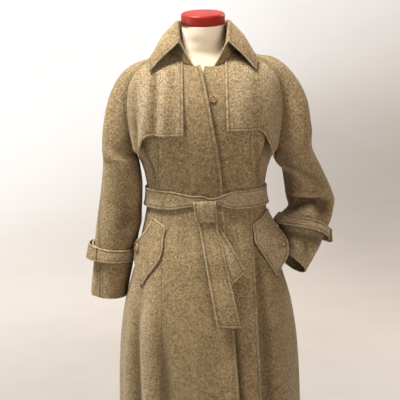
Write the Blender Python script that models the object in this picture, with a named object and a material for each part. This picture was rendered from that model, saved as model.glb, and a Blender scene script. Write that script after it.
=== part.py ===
# Belted tweed coat with raglan sleeves, standing on a dress form.
# Metres, +Z up. The origin is the middle of the stand's foot, and the front of the coat faces -Y.
# Right and left are the wearer's: the right side is at -X.

import math
from collections import namedtuple

import bmesh
import bpy
from mathutils import Matrix, Vector

# Driving sizes
HEM_Z = 0.29
UNDERARM_Z = 1.175
WAIST_Z = 1.076
CLOTH = 0.0022
SEAM_GAP = 0.0004
LAP_LIFT = 0.0037
LAP_SLOPE = (0.030, 0.009)
LAP_FALL = (0.006, 0.030)

FLAP_THICK = 0.003
FLAP_GAP = 0.0014
FLAP_STAND = 0.0045
FLAP_HANG_Z = 1.25
FLAP_CORNER_LIFT = {"right": 0.016, "left": 0.0}
POCKET_THICK = 0.003
POCKET_GAP = 0.0020
POCKET_FORWARD = 0.6
COLLAR_THICK = 0.0036
COLLAR_ROLL = 0.0065
COLLAR_SPREAD = {"right": 1.0, "left": 0.965}

BELT_WIDTH = 0.047
BELT_GAP = 0.0012
BELT_THICK = 0.004
KNOT_SIZE = (0.052, 0.018, 0.058)
KNOT_PLACE = (-0.005, 1.056)
KNOT_ROUNDING = 0.007
STRAP_GAP = 0.0016
STRAP_THICK = 0.0035
TAB_RISE = 0.006
TAB_THICK = 0.003
REST_GAP = 0.0004
BUTTON_GAP = 0.0008

POCKET_BUTTON = (0.011, 0.0042)
POCKET_BUTTON_AT = {"right": (73.5, 0.950), "left": (70.5, 0.953)}
NECK_BUTTON = (0.0085, 0.0036)
NECK_BUTTON_AT = (0.0186, 1.3195)
BUTTON_RIM = 0.12
BUTTON_SLOPE = 0.16
BUTTON_DISH = 0.3

NECK_TILT = math.radians(10)
CAP_RADIUS = 0.0535
CAP_THICK = 0.026
CAP_ROUNDING = 0.006
CAP_PLACE = (0.0, -0.008, 1.509)
FORM_BOTTOM_Z = 0.80
FORM_LEAN_Z = 1.44
POLE_RADIUS = 0.0135
BASE_RADIUS = 0.17
BASE_THICK = 0.014
BASE_ROUNDING = 0.004

# The coat's outline: half width, and reach forwards and backwards of its middle, at each height
Ring = namedtuple("Ring", "z half front back power")
BODY_RINGS = [
    Ring(0.290, 0.2450, 0.2150, 0.215, 2.10),
    Ring(0.540, 0.2285, 0.1900, 0.190, 2.10),
    Ring(0.710, 0.2165, 0.1720, 0.172, 2.12),
    Ring(0.800, 0.2030, 0.1600, 0.160, 2.14),
    Ring(0.880, 0.1860, 0.1500, 0.150, 2.16),
    Ring(0.950, 0.1710, 0.1400, 0.138, 2.18),
    Ring(1.010, 0.1560, 0.1280, 0.120, 2.20),
    Ring(1.076, 0.1455, 0.1170, 0.100, 2.20),
    Ring(1.130, 0.1510, 0.1260, 0.104, 2.25),
    Ring(1.160, 0.1600, 0.1330, 0.108, 2.30),
    Ring(1.200, 0.1780, 0.1400, 0.113, 2.40),
    Ring(1.250, 0.1900, 0.1435, 0.117, 2.50),
    Ring(1.300, 0.1970, 0.1380, 0.118, 2.50),
    Ring(1.340, 0.1975, 0.1240, 0.114, 2.50),
    Ring(1.370, 0.1900, 0.1070, 0.106, 2.50),
    Ring(1.395, 0.1680, 0.0860, 0.094, 2.50),
    Ring(1.412, 0.1350, 0.0660, 0.080, 2.50),
    Ring(1.425, 0.0970, 0.0500, 0.068, 2.50),
    Ring(1.435, 0.0790, 0.0420, 0.061, 2.50),
    Ring(1.446, 0.0700, 0.0360, 0.056, 2.50),
]

# Large folds: each runs from its angle at the top to its angle at the hem, growing on the way down
Fold = namedtuple("Fold", "angle_top angle_hem top full spread rise")
FOLDS = [
    Fold(-35, -27, 0.80, 0.55, 5.0, -0.0050),
    Fold(-52, -40, 0.88, 0.66, 6.5, 0.0100),
    Fold(-63, -54, 0.82, 0.55, 5.5, -0.0060),
    Fold(-88, -80, 0.80, 0.42, 8.0, -0.0050),
    Fold(-84, -84, 0.93, 0.80, 16.0, 0.0080),
    Fold(-84, -84, 0.62, 0.40, 16.0, -0.0060),
    Fold(42, 39, 1.02, 0.80, 4.5, -0.0060),
    Fold(62, 58, 0.84, 0.50, 9.0, 0.0080),
    Fold(88, 80, 0.80, 0.42, 8.0, -0.0050),
    Fold(84, 84, 0.93, 0.80, 16.0, 0.0080),
    Fold(84, 84, 0.62, 0.40, 16.0, -0.0060),
    Fold(112, 118, 0.92, 0.45, 10.0, 0.0080),
    Fold(150, 147, 1.00, 0.50, 9.0, 0.0090),
    Fold(176, 174, 0.86, 0.45, 9.0, -0.0060),
    Fold(204, 207, 1.00, 0.50, 10.0, 0.0100),
    Fold(244, 240, 0.92, 0.45, 10.0, 0.0080),
]

# The sides as signs: +X is the left one
SIDES = {"right": -1, "left": 1}

# Lines that run down the front, as x at each height
Line = namedtuple("Line", "z x")
LAP_EDGE = [
    Line(0.290, 0.0830), Line(0.581, 0.0685), Line(0.771, 0.0590), Line(1.026, 0.0410),
    Line(1.151, 0.0346), Line(1.275, 0.0165), Line(1.320, 0.0080), Line(1.380, -0.0030),
    Line(1.400, -0.0095),
]
UNDER_EDGE = [
    Line(0.290, -0.0180), Line(1.250, -0.0180), Line(1.330, -0.0160), Line(1.380, -0.0020),
    Line(1.400, 0.0020),
]
PANEL_SEAM = [
    Line(0.290, 0.1370), Line(0.580, 0.1235), Line(0.830, 0.1140), Line(1.020, 0.1095),
    Line(1.107, 0.1145), Line(1.220, 0.1130), Line(1.330, 0.1220), Line(1.4065, 0.1350),
]

# Raglan seam from the neck to the underarm, and how the sleeve leaves it:
# the angles at the seam and at the over-arm line, and the reach of the curve between them
Seam = namedtuple("Seam", "x z rise_seam rise_over reach")
RAGLAN = [
    Seam(0.0740, 1.4260, 6, 10, 0.33),
    Seam(0.1050, 1.4175, 8, 12, 0.33),
    Seam(0.1350, 1.4065, 10, 16, 0.35),
    Seam(0.1580, 1.3910, 14, 24, 0.38),
    Seam(0.1755, 1.3700, 20, 36, 0.42),
    Seam(0.1850, 1.3400, 30, 50, 0.46),
    Seam(0.1875, 1.3050, 42, 62, 0.50),
    Seam(0.1840, 1.2620, 54, 72, 0.55),
    Seam(0.1775, 1.2240, 66, 80, 0.60),
    Seam(0.1725, 1.1960, 76, 86, 0.68),
]
NECK_BACK = [(0.071, 1.436), (0.036, 1.4395), (0.0, 1.440)]
NECK_FRONT = [(0.050, 1.405), (0.022, 1.3965)]

# Over-arm line above each step of the raglan seam
Over = namedtuple("Over", "x z")
OVER_ARM = {
    "right": [
        Over(0.0810, 1.4335), Over(0.1100, 1.4210), Over(0.1405, 1.4105), Over(0.1670, 1.4025),
        Over(0.1900, 1.3880), Over(0.2080, 1.3660), Over(0.2235, 1.3330), Over(0.2350, 1.2920),
        Over(0.2430, 1.2450), Over(0.2475, 1.2120),
    ],
    "left": [
        Over(0.0810, 1.4335), Over(0.1120, 1.4240), Over(0.1420, 1.4175), Over(0.1680, 1.4130),
        Over(0.1920, 1.3985), Over(0.2125, 1.3760), Over(0.2310, 1.3470), Over(0.2445, 1.3100),
        Over(0.2515, 1.2620), Over(0.2565, 1.2350),
    ],
}

# Below the underarm the right sleeve hangs straight, and its over-arm seam turns towards the front
Hanging = namedtuple("Hanging", "z outer inner middle_y depth turn")
HANGING_SLEEVE = [
    Hanging(1.165, 0.2540, 0.1570, 0.000, 0.066, 0),
    Hanging(1.120, 0.2580, 0.1590, 0.003, 0.065, 5),
    Hanging(1.075, 0.2635, 0.1600, 0.006, 0.063, 10),
    Hanging(1.030, 0.2700, 0.1650, 0.010, 0.061, 18),
    Hanging(0.985, 0.2755, 0.1740, 0.014, 0.058, 28),
    Hanging(0.940, 0.2790, 0.1870, 0.017, 0.055, 38),
    Hanging(0.895, 0.2835, 0.1950, 0.016, 0.053, 48),
    Hanging(0.855, 0.2880, 0.2040, 0.015, 0.052, 56),
    Hanging(0.822, 0.2920, 0.2105, 0.014, 0.052, 62),
]

# The left sleeve bends at the elbow, and its cuff comes forwards to the pocket
Tube = namedtuple("Tube", "over under depth")
BENT_SLEEVE = [
    Tube((0.2650, 0.000, 1.1880), (0.1570, 0.000, 1.150), 0.066),
    Tube((0.2880, 0.026, 1.1390), (0.1900, 0.008, 1.138), 0.062),
    Tube((0.3098, 0.044, 1.0906), (0.1985, 0.015, 1.100), 0.060),
    Tube((0.3195, 0.052, 1.0560), (0.2045, 0.015, 1.067), 0.058),
    Tube((0.3180, 0.048, 1.0300), (0.2120, 0.006, 1.050), 0.056),
    Tube((0.3105, 0.036, 1.0060), (0.1985, -0.012, 1.034), 0.055),
    Tube((0.3005, 0.028, 0.9830), (0.1865, -0.016, 1.013), 0.053),
    Tube((0.2910, 0.019, 0.9590), (0.1825, -0.016, 0.988), 0.050),
    Tube((0.2800, 0.009, 0.9340), (0.1810, -0.017, 0.966), 0.048),
    Tube((0.2615, -0.002, 0.9050), (0.1815, -0.020, 0.946), 0.047),
    Tube((0.2390, -0.015, 0.8730), (0.1830, -0.025, 0.927), 0.0465),
]

# Cuff straps, as steps down the sleeve at the over-arm line and at the seam, and the middle of the tab
Strap = namedtuple("Strap", "over_top over_low seam_top seam_low tab")
STRAPS = {
    "right": Strap(14.67, 15.49, 14.67, 15.49, -1 / 6),
    "left": Strap(16.25, 17.25, 15.20, 16.15, 0.00),
}

# Storm flap: its upper edge near the raglan seam and its lower edge, from the front to the underarm
FlapRow = namedtuple("FlapRow", "top_x top_z low_x low_z")
FLAP = [
    FlapRow(0.0500, 1.4020, 0.0500, 1.2450),
    FlapRow(0.0740, 1.4220, 0.0750, 1.2445),
    FlapRow(0.1050, 1.4145, 0.1000, 1.2440),
    FlapRow(0.1350, 1.4030, 0.1180, 1.2435),
    FlapRow(0.1570, 1.3860, 0.1280, 1.2425),
    FlapRow(0.1740, 1.3620, 0.1345, 1.2370),
    FlapRow(0.1825, 1.3300, 0.1410, 1.2200),
    FlapRow(0.1840, 1.2900, 0.1475, 1.2000),
    FlapRow(0.1800, 1.2450, 0.1530, 1.1830),
    FlapRow(0.1705, 1.1960, 0.1575, 1.1660),
]

# Pockets: the angles of the inner and outer edges at each height, and how far the outer edge gapes
PocketRow = namedtuple("PocketRow", "z inner outer gape")
POCKETS = {
    "right": [
        PocketRow(0.866, 55.0, 58.5, 0.0010),
        PocketRow(0.885, 51.0, 65.0, 0.0015),
        PocketRow(0.905, 46.0, 75.0, 0.0030),
        PocketRow(0.930, 39.5, 84.0, 0.0030),
        PocketRow(0.955, 37.0, 84.0, 0.0040),
        PocketRow(0.971, 37.4, 75.0, 0.0045),
        PocketRow(0.990, 37.7, 65.5, 0.0030),
        PocketRow(1.012, 38.0, 59.0, 0.0020),
        PocketRow(1.030, 54.0, 57.0, 0.0010),
    ],
    "left": [
        PocketRow(0.878, 61.5, 65.0, 0.0010),
        PocketRow(0.895, 58.0, 71.0, 0.0080),
        PocketRow(0.912, 54.0, 75.0, 0.0260),
        PocketRow(0.930, 50.0, 75.5, 0.0370),
        PocketRow(0.954, 45.0, 76.0, 0.0420),
        PocketRow(0.972, 41.5, 77.5, 0.0340),
        PocketRow(0.990, 42.5, 79.5, 0.0210),
        PocketRow(1.013, 43.5, 81.0, 0.0080),
        PocketRow(1.026, 58.0, 80.0, 0.0030),
        PocketRow(1.040, 74.0, 78.0, 0.0010),
    ],
}

# Collar: where it rolls over and where it ends, from the middle of the back to the front end
CollarRow = namedtuple("CollarRow", "roll edge bulge")
COLLAR = [
    CollarRow((0.0000, 0.070, 1.502), (0.0000, 0.117, 1.402), 0.004),
    CollarRow((0.0370, 0.060, 1.503), (0.0620, 0.105, 1.412), 0.004),
    CollarRow((0.0600, 0.030, 1.504), (0.1030, 0.062, 1.427), 0.005),
    CollarRow((0.0655, -0.003, 1.503), (0.1185, 0.005, 1.432), 0.006),
    CollarRow((0.0645, -0.034, 1.496), (0.1265, -0.040, 1.424), 0.006),
    CollarRow((0.0620, -0.061, 1.478), (0.1325, -0.068, 1.408), 0.005),
    CollarRow((0.0600, -0.085, 1.4545), (0.1310, -0.093, 1.386), 0.002),
]

# Belt tails: the left and right ends of each upper and lower edge
Tail = namedtuple("Tail", "top_left top_right low_left low_right gap")
TAILS = {
    "belt_tail_long": Tail(
        (-0.020, 1.0237), (0.0237, 1.0237), (0.0185, 0.778), (0.0718, 0.772), 0.0055
    ),
    "belt_tail_short": Tail(
        (-0.002, 1.0243), (0.0240, 1.0243), (0.0538, 0.8757), (0.0889, 0.9045), 0.0010
    ),
}
TAIL_THICK = 0.0036

# Dress form, from its flat bottom to the top of its neck
FORM_RINGS = [
    Ring(0.800, 0.1500, 0.1120, 0.1120, 2.1),
    Ring(0.830, 0.1580, 0.1180, 0.1200, 2.1),
    Ring(0.880, 0.1600, 0.1200, 0.1240, 2.1),
    Ring(0.950, 0.1500, 0.1130, 0.1140, 2.1),
    Ring(1.020, 0.1320, 0.1010, 0.0960, 2.1),
    Ring(1.076, 0.1220, 0.0940, 0.0830, 2.1),
    Ring(1.130, 0.1290, 0.1010, 0.0870, 2.1),
    Ring(1.200, 0.1480, 0.1170, 0.0970, 2.2),
    Ring(1.250, 0.1580, 0.1230, 0.1030, 2.3),
    Ring(1.300, 0.1680, 0.1180, 0.1060, 2.4),
    Ring(1.340, 0.1740, 0.1100, 0.1040, 2.5),
    Ring(1.370, 0.1720, 0.0970, 0.0985, 2.5),
    Ring(1.395, 0.1540, 0.0750, 0.0825, 2.5),
    Ring(1.412, 0.1170, 0.0560, 0.0680, 2.4),
    Ring(1.425, 0.0760, 0.0495, 0.0575, 2.2),
    Ring(1.436, 0.0625, 0.0500, 0.0515, 2.1),
    Ring(1.450, 0.0550, 0.0515, 0.0475, 2.0),
    Ring(1.470, 0.0520, 0.0560, 0.0450, 2.0),
    Ring(1.4955, 0.0515, 0.0595, 0.0435, 2.0),
]

# Rows of the panels: heights up to above the waist, then shares of the way to the top edge
LOW_ROWS = [0.29, 0.42, 0.55, 0.67, 0.77, 0.85, 0.92, 0.98, 1.025, 1.0525, 1.076, 1.0995, 1.125]
HIGH_SHARES = [0.20, 0.38, 0.54, 0.69, 0.82, 0.92, 1]
RIGHT_FRONT_SHARES = [0, 0.22, 0.42, 0.58, 0.80, 1]
LEFT_FRONT_SHARES = [0, 0.16, 0.32, 0.50, 0.68, 0.84, 1]
ARC_STEPS = [step / 6 for step in range(7)]
FLAP_STEPS = [0, 0.06, 0.13, 0.22, 0.34, 0.52, 0.76, 1]
POCKET_STEPS = [step / 5 for step in range(6)]
BELT_STEPS = [-0.5, 0, 0.5]
BELT_COLUMNS = 52
TAIL_STEPS = [step / 7 for step in range(8)]
TAIL_SHARES = [step / 3 for step in range(4)]
STRAP_STEPS = [0, 0.4, 0.7, 1]
TAB_STEPS = [-1, -0.7, -0.35, 0, 0.35, 0.7, 1]
FORM_COLUMNS = 28

FINISHES = {
    "tweed": ((0.205, 0.165, 0.098, 1), 0.95, 0.0),
    "button": ((0.120, 0.062, 0.028, 1), 0.35, 0.0),
    "form_cloth": ((0.700, 0.620, 0.480, 1), 0.85, 0.0),
    "cap_red": ((0.420, 0.018, 0.020, 1), 0.40, 0.0),
    "metal": ((0.500, 0.500, 0.500, 1), 0.35, 1.0),
}


# Read a table at any value of its first column, on a smooth curve through its rows
def between(rows, at):
    at = min(max(at, rows[0][0]), rows[-1][0])
    place = next(index for index in range(len(rows) - 1) if at <= rows[index + 1][0])
    low, high = rows[place], rows[place + 1]
    before, after = rows[max(place - 1, 0)], rows[min(place + 2, len(rows) - 1)]
    span = high[0] - low[0]
    t = (at - low[0]) / span
    values = []
    for b, l, h, a in zip(before, low, high, after):
        slope_low = (h - b) / (high[0] - before[0]) * span
        slope_high = (a - l) / (after[0] - low[0]) * span
        ends = l * (1 + 2 * t) * (1 - t) ** 2 + h * t * t * (3 - 2 * t)
        values.append(ends + slope_low * t * (1 - t) ** 2 - slope_high * t * t * (1 - t))
    return type(low)(*values)


def ease(value, start, end):
    t = min(max((value - start) / (end - start), 0.0), 1.0)
    return t * t * (3 - 2 * t)


def ring_point(ring, angle, z):
    sine, cosine = math.sin(angle), math.cos(angle)
    x = math.copysign(abs(sine) ** (2 / ring.power), sine) * ring.half
    y = math.copysign(abs(cosine) ** (2 / ring.power), -cosine) * (ring.front if cosine > 0 else ring.back)
    return Vector((x, y, z))


def fold_rise(angle, z):
    total = 0.0
    for fold in FOLDS:
        share = ease(fold.top - z, 0, fold.top - fold.full)
        drift = ease(fold.top - z, 0, fold.top - HEM_Z)
        middle = fold.angle_top + (fold.angle_hem - fold.angle_top) * drift
        away = (math.degrees(angle) - middle + 180) % 360 - 180
        total += fold.rise * share * math.exp(-(away / fold.spread) ** 2)
    return total


# The coat's smooth outer surface: the angle is counted from the middle of the front towards the left
def coat_line(angle, z):
    point = ring_point(between(BODY_RINGS, z), angle, z)
    outward = Vector((point.x, point.y, 0)).normalized()
    return point + outward * fold_rise(angle, z)


def coat_normal(angle, z):
    turn, rise = 0.004, 0.002
    across = coat_line(angle + turn, z) - coat_line(angle - turn, z)
    up = coat_line(angle, z + rise) - coat_line(angle, z - rise)
    return across.cross(up).normalized()


def angle_at(x, z, back=False):
    ring = between(BODY_RINGS, z)
    share = min(abs(x) / ring.half, 1.0)
    angle = math.copysign(math.asin(share ** (ring.power / 2)), x)
    return math.pi - angle if back else angle


# How far the right front is raised over the left one, and how that step dies away past its edge
def lap_rise(x, z):
    under = between(UNDER_EDGE, z).x
    return LAP_LIFT * ease(x, under - LAP_SLOPE[0], under - LAP_SLOPE[1])


def lap_cover(x, z):
    edge = between(LAP_EDGE, z).x
    return lap_rise(x, z) * (1 - ease(x, edge + LAP_FALL[0], edge + LAP_FALL[1]))


def add_piece(name, mesh, finish):
    bmesh.ops.recalc_face_normals(mesh, faces=mesh.faces)
    data = bpy.data.meshes.new(name)
    mesh.to_mesh(data)
    mesh.free()
    data.shade_smooth()
    data.set_sharp_from_angle(angle=math.radians(40))
    data.materials.append(finishes[finish])
    piece = bpy.data.objects.new(name, data)
    bpy.context.collection.objects.link(piece)
    return piece


def make_finish(name, colour, roughness, metallic):
    material = bpy.data.materials.new(name)
    material.use_nodes = True
    shader = material.node_tree.nodes["Principled BSDF"]
    shader.inputs["Base Color"].default_value = colour
    shader.inputs["Roughness"].default_value = roughness
    shader.inputs["Metallic"].default_value = metallic
    return material


# A cloth wall: its outer face runs through a grid of (point, normal) pairs, its inner face lies behind
def add_wall(name, grid, thickness, finish="tweed", ring=False):
    columns = len(grid[0])
    mesh = bmesh.new()
    place = mesh.verts.layers.int.new("place")
    bmesh.ops.create_grid(mesh, x_segments=columns - 1, y_segments=len(grid) - 1, size=1)
    for index, vert in enumerate(mesh.verts):
        vert[place] = index
        vert.co = grid[index // columns][index % columns][0]
    if ring:
        bmesh.ops.remove_doubles(mesh, verts=mesh.verts, dist=1e-6)
    behind = bmesh.ops.extrude_face_region(mesh, geom=mesh.faces[:], use_keep_orig=True)
    for vert in behind["geom"]:
        if isinstance(vert, bmesh.types.BMVert):
            row, column = divmod(vert[place], columns)
            vert.co -= grid[row][column][1] * thickness
    return add_piece(name, mesh, finish)


# Sewn edges stop half a seam gap short of the seam
def draw_back(grid, first_row=False, last_row=False, first_column=False, last_column=False):
    def nearer(pair, towards):
        step = (towards[0] - pair[0]).normalized()
        return (pair[0] + step * SEAM_GAP / 2, pair[1])

    drawn = [list(row) for row in grid]
    if first_row:
        drawn[0] = [nearer(pair, inner) for pair, inner in zip(grid[0], grid[1])]
    if last_row:
        drawn[-1] = [nearer(pair, inner) for pair, inner in zip(grid[-1], grid[-2])]
    for row in drawn:
        if first_column:
            row[0] = nearer(row[0], row[1])
        if last_column:
            row[-1] = nearer(row[-1], row[-2])
    return drawn


def mirrored(grid):
    flip = Vector((-1, 1, 1))
    return [[(point * flip, normal * flip) for point, normal in row] for row in grid]


def panel_heights(top_z):
    low_top = LOW_ROWS[-1]
    return LOW_ROWS + [low_top + (top_z - low_top) * share for share in HIGH_SHARES]


# A body panel between two seams, given as angles at each height, with a shaped top edge.
# Each column keeps its share of the width low down and drifts to its own place on the top edge.
# Angles are counted towards the panel's own side.
def panel_grid(first_seam, last_seam, top, shares, out_at, side="left"):
    heights = [panel_heights(top_z) for _, top_z in top]
    top_first, top_last = top[0][0], top[-1][0]
    grid = []
    for level in zip(*heights):
        first, last = first_seam(level[0]), last_seam(level[-1])
        row = []
        for share, z, (top_angle, top_z) in zip(shares, level, top):
            top_share = (top_angle - top_first) / (top_last - top_first)
            climb = (z - HEM_Z) / (top_z - HEM_Z)
            turn = first + (last - first) * (share + (top_share - share) * climb ** 3)
            angle = SIDES[side] * turn
            normal = coat_normal(angle, z)
            point = coat_line(angle, z)
            row.append((point + normal * out_at(point.x, z), normal))
        grid.append(row)
    return grid


def even_shares(count):
    return [index / (count - 1) for index in range(count)]


def front_raglan(first, last):
    points = [(angle_at(seam.x, seam.z), seam.z) for seam in RAGLAN[first:last]]
    return points + ([(math.pi / 2, UNDERARM_Z)] if last > len(RAGLAN) else [])


def flat_out(x, z):
    return 0.0


def panel_seam_angle(z):
    return angle_at(between(PANEL_SEAM, z).x, z)


# Each front runs from its front edge to its panel seam
def add_fronts():
    neck = [(angle_at(x, z), z) for x, z in reversed(NECK_FRONT)]
    top_z = NECK_FRONT[-1][1]
    edge_angle = {
        "right": lambda z: angle_at(-between(LAP_EDGE, z).x, z),
        "left": lambda z: angle_at(between(UNDER_EDGE, z).x, z),
    }
    shares = {"right": RIGHT_FRONT_SHARES, "left": LEFT_FRONT_SHARES}
    rise = {"right": lap_rise, "left": flat_out}
    for side in SIDES:
        edge = [(edge_angle[side](top_z), top_z)]
        if side == "left":
            edge.append(((edge[0][0] + neck[0][0]) / 2, top_z))
        top = edge + neck + front_raglan(0, 3)
        grid = panel_grid(edge_angle[side], panel_seam_angle, top, shares[side], rise[side], side)
        add_wall("front_" + side, draw_back(grid, last_row=True, last_column=True), CLOTH)


def side_seam(z):
    return math.pi / 2


def add_side_fronts():
    top = front_raglan(2, len(RAGLAN) + 1)
    for side in SIDES:
        grid = panel_grid(panel_seam_angle, side_seam, top, even_shares(len(top)), flat_out, side)
        grid = draw_back(grid, last_row=True, first_column=True, last_column=True)
        add_wall("side_front_" + side, grid, CLOTH)


def back_top():
    half = [(math.pi / 2, UNDERARM_Z)]
    half += [(angle_at(seam.x, seam.z, back=True), seam.z) for seam in reversed(RAGLAN[1:])]
    half += [(angle_at(x, z, back=True), z) for x, z in NECK_BACK]
    return half + [(2 * math.pi - angle, z) for angle, z in reversed(half[:-1])]


def add_back():
    top = back_top()
    grid = panel_grid(side_seam, lambda z: 1.5 * math.pi, top, even_shares(len(top)), flat_out)
    add_wall("back", draw_back(grid, last_row=True, first_column=True, last_column=True), CLOTH)


# Sleeve sections, with the arm at +X: a front and a back curve from the over-arm line to the seam
SleeveRow = namedtuple("SleeveRow", "k over front back rise_seam rise_over reach")


def hanging_tube(row):
    middle = Vector(((row.outer + row.inner) / 2, row.middle_y, row.z))
    half, turn = (row.outer - row.inner) / 2, math.radians(row.turn)
    arm = Vector((half * math.cos(turn), -row.depth * math.sin(turn), 0))
    across = math.hypot(half * math.sin(turn), row.depth * math.cos(turn))
    return Tube(middle + arm, middle - arm, across)


def sleeve_rows(side):
    rows = []
    for k, (seam, over) in enumerate(zip(RAGLAN, OVER_ARM[side])):
        back_x, back_z = NECK_BACK[0] if k == 0 else (seam.x, seam.z)
        front = coat_line(angle_at(seam.x, seam.z), seam.z)
        back = coat_line(angle_at(back_x, back_z, back=True), back_z)
        curve = (seam.rise_seam, seam.rise_over, seam.reach)
        rows.append(SleeveRow(k, Vector((over.x, 0, over.z)), front, back, *curve))
    tubes = BENT_SLEEVE if side == "left" else [hanging_tube(row) for row in HANGING_SLEEVE]
    for k, tube in enumerate(tubes, start=len(RAGLAN)):
        over = Vector(tube.over)
        under = coat_line(math.pi / 2, UNDERARM_Z) if k == len(RAGLAN) else Vector(tube.under)
        reach = 4 / 3 * tube.depth / (over - under).length
        rows.append(SleeveRow(k, over, under, under, 90, 90, reach))
    return rows


def sleeve_arc(rows, half, k, t):
    row = between(rows, k)
    seam = row.front if half == "front" else row.back
    ahead, behind = between(rows, k + 0.1), between(rows, k - 0.1)
    along = (ahead.over - behind.over) * 2 + ahead.front + ahead.back - behind.front - behind.back
    chord = row.over - seam
    c = chord.normalized()
    swell = along.cross(c).normalized() * (1 if half == "front" else -1)
    rise_seam, rise_over = math.radians(row.rise_seam), math.radians(row.rise_over)
    reach = row.reach * chord.length
    near_over = row.over + (swell * math.sin(rise_over) - c * math.cos(rise_over)) * reach
    near_seam = seam + (swell * math.sin(rise_seam) + c * math.cos(rise_seam)) * reach
    s = 1 - t
    return row.over * s ** 3 + near_over * 3 * s * s * t + near_seam * 3 * s * t * t + seam * t ** 3


def sleeve_normal(rows, half, k, t):
    across = sleeve_arc(rows, half, k, min(t + 0.02, 1)) - sleeve_arc(rows, half, k, max(t - 0.02, 0))
    down = sleeve_arc(rows, half, k + 0.05, t) - sleeve_arc(rows, half, k - 0.05, t)
    return across.cross(down).normalized() * (1 if half == "front" else -1)


# The two halves share one normal where they meet, along the over-arm line and under the arm
def sleeve_pair(rows, half, k, t, out=0.0):
    normal = sleeve_normal(rows, half, k, t)
    if t == 0 or (t == 1 and k >= len(RAGLAN)):
        other = "back" if half == "front" else "front"
        normal = (normal + sleeve_normal(rows, other, k, t)).normalized()
    return (sleeve_arc(rows, half, k, t) + normal * out, normal)


def add_sleeves():
    for side in SIDES:
        rows = sleeve_rows(side)
        for half in ("front", "back"):
            grid = [[sleeve_pair(rows, half, row.k, t) for t in ARC_STEPS] for row in rows]
            grid = draw_back(grid, first_column=True, last_column=True)
            add_wall("sleeve_" + side + "_" + half, mirrored(grid) if side == "right" else grid, CLOTH)


# A strap goes right round the sleeve, and its tab stands off it like a loop.
# Places round the sleeve count from the over-arm line, forwards to 1 and backwards to -1 at the seam.
def around_sleeve(rows, place, k_over, k_seam, out):
    half = "front" if place >= 0 else "back"
    k = k_over + (k_seam - k_over) * abs(place)
    return sleeve_pair(rows, half, k, abs(place), out)


def add_cuff_straps():
    places = ARC_STEPS + [-step for step in reversed(ARC_STEPS[:-1])]
    for side, strap in STRAPS.items():
        rows = sleeve_rows(side)
        out = STRAP_GAP + STRAP_THICK
        band, tab = [], []
        for drop in STRAP_STEPS:
            k_over = strap.over_top + (strap.over_low - strap.over_top) * drop
            k_seam = strap.seam_top + (strap.seam_low - strap.seam_top) * drop
            band.append([around_sleeve(rows, place, k_over, k_seam, out) for place in places])
            line = []
            for step in TAB_STEPS:
                rise = out + REST_GAP + TAB_THICK + TAB_RISE * (1 - step * step)
                place = strap.tab + step * ARC_STEPS[1]
                line.append(around_sleeve(rows, place, k_over, k_seam, rise))
            tab.append(line)
        flip = mirrored if side == "right" else list
        add_wall("cuff_strap_" + side, flip(band), STRAP_THICK, ring=True)
        add_wall("cuff_tab_" + side, flip(tab), TAB_THICK)


# The flap hangs straight down from the fullest part of the chest, so that its lower edge stands free
def flap_grid(corner_lift):
    grid = []
    for place, row in enumerate(FLAP):
        low_z = row.low_z + corner_lift * ease(place, 4, len(FLAP) - 1)
        line = []
        for step in FLAP_STEPS:
            x = row.top_x + (row.low_x - row.top_x) * step
            z = row.top_z + (low_z - row.top_z) * step
            held_z = max(z, FLAP_HANG_Z)
            angle = angle_at(x, held_z)
            normal = coat_normal(angle, held_z)
            out = FLAP_GAP + FLAP_THICK + FLAP_STAND * step ** 3
            line.append((coat_line(angle, held_z) + normal * out - Vector((0, 0, held_z - z)), normal))
        grid.append(line)
    return grid


def add_storm_flaps():
    add_wall("storm_flap_left", flap_grid(FLAP_CORNER_LIFT["left"]), FLAP_THICK)
    add_wall("storm_flap_right", mirrored(flap_grid(FLAP_CORNER_LIFT["right"])), FLAP_THICK)


# A pocket's surface, by its height and the share of the way from its inner to its outer edge
def pocket_point(side, z, share):
    row = between(POCKETS[side], z)
    angle = SIDES[side] * math.radians(row.inner + (row.outer - row.inner) * share)
    normal = coat_normal(angle, z)
    gaping = (normal - Vector((0, POCKET_FORWARD * share, 0))).normalized() * row.gape * share * share
    return coat_line(angle, z) + normal * (POCKET_GAP + POCKET_THICK) + gaping


def pocket_pair(side, z, share):
    across = pocket_point(side, z, share + 0.02) - pocket_point(side, z, share - 0.02)
    up = pocket_point(side, z + 0.002, share) - pocket_point(side, z - 0.002, share)
    return (pocket_point(side, z, share), across.cross(up).normalized() * SIDES[side])


def add_pockets():
    for side, rows in POCKETS.items():
        grid = [[pocket_pair(side, row.z, share) for share in POCKET_STEPS] for row in rows]
        add_wall("pocket_" + side, grid, POCKET_THICK)


# A turned button with a raised rim, its back on the point and its face along the normal
def add_button(name, size, point, normal):
    radius, height = size
    mesh = bmesh.new()
    bmesh.ops.create_cone(mesh, cap_ends=True, segments=20, radius1=radius, radius2=radius, depth=height)
    face = max(mesh.faces, key=lambda side: side.calc_center_median().z)
    dish = -height * BUTTON_DISH
    bmesh.ops.inset_region(mesh, faces=[face], thickness=radius * BUTTON_RIM)
    bmesh.ops.inset_region(mesh, faces=[face], thickness=radius * BUTTON_SLOPE, depth=dish)
    turn = normal.to_track_quat("Z", "Y").to_matrix().to_4x4()
    place = Matrix.Translation(point + normal * (height / 2 + BUTTON_GAP)) @ turn
    bmesh.ops.transform(mesh, matrix=place, verts=mesh.verts)
    add_piece(name, mesh, "button")


def add_buttons():
    for side, (degrees, z) in POCKET_BUTTON_AT.items():
        row = between(POCKETS[side], z)
        point, normal = pocket_pair(side, z, (degrees - row.inner) / (row.outer - row.inner))
        add_button("pocket_button_" + side, POCKET_BUTTON, point, normal)
    x, z = NECK_BUTTON_AT
    angle = angle_at(x, z)
    add_button("neck_button", NECK_BUTTON, coat_line(angle, z), coat_normal(angle, z))


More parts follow.
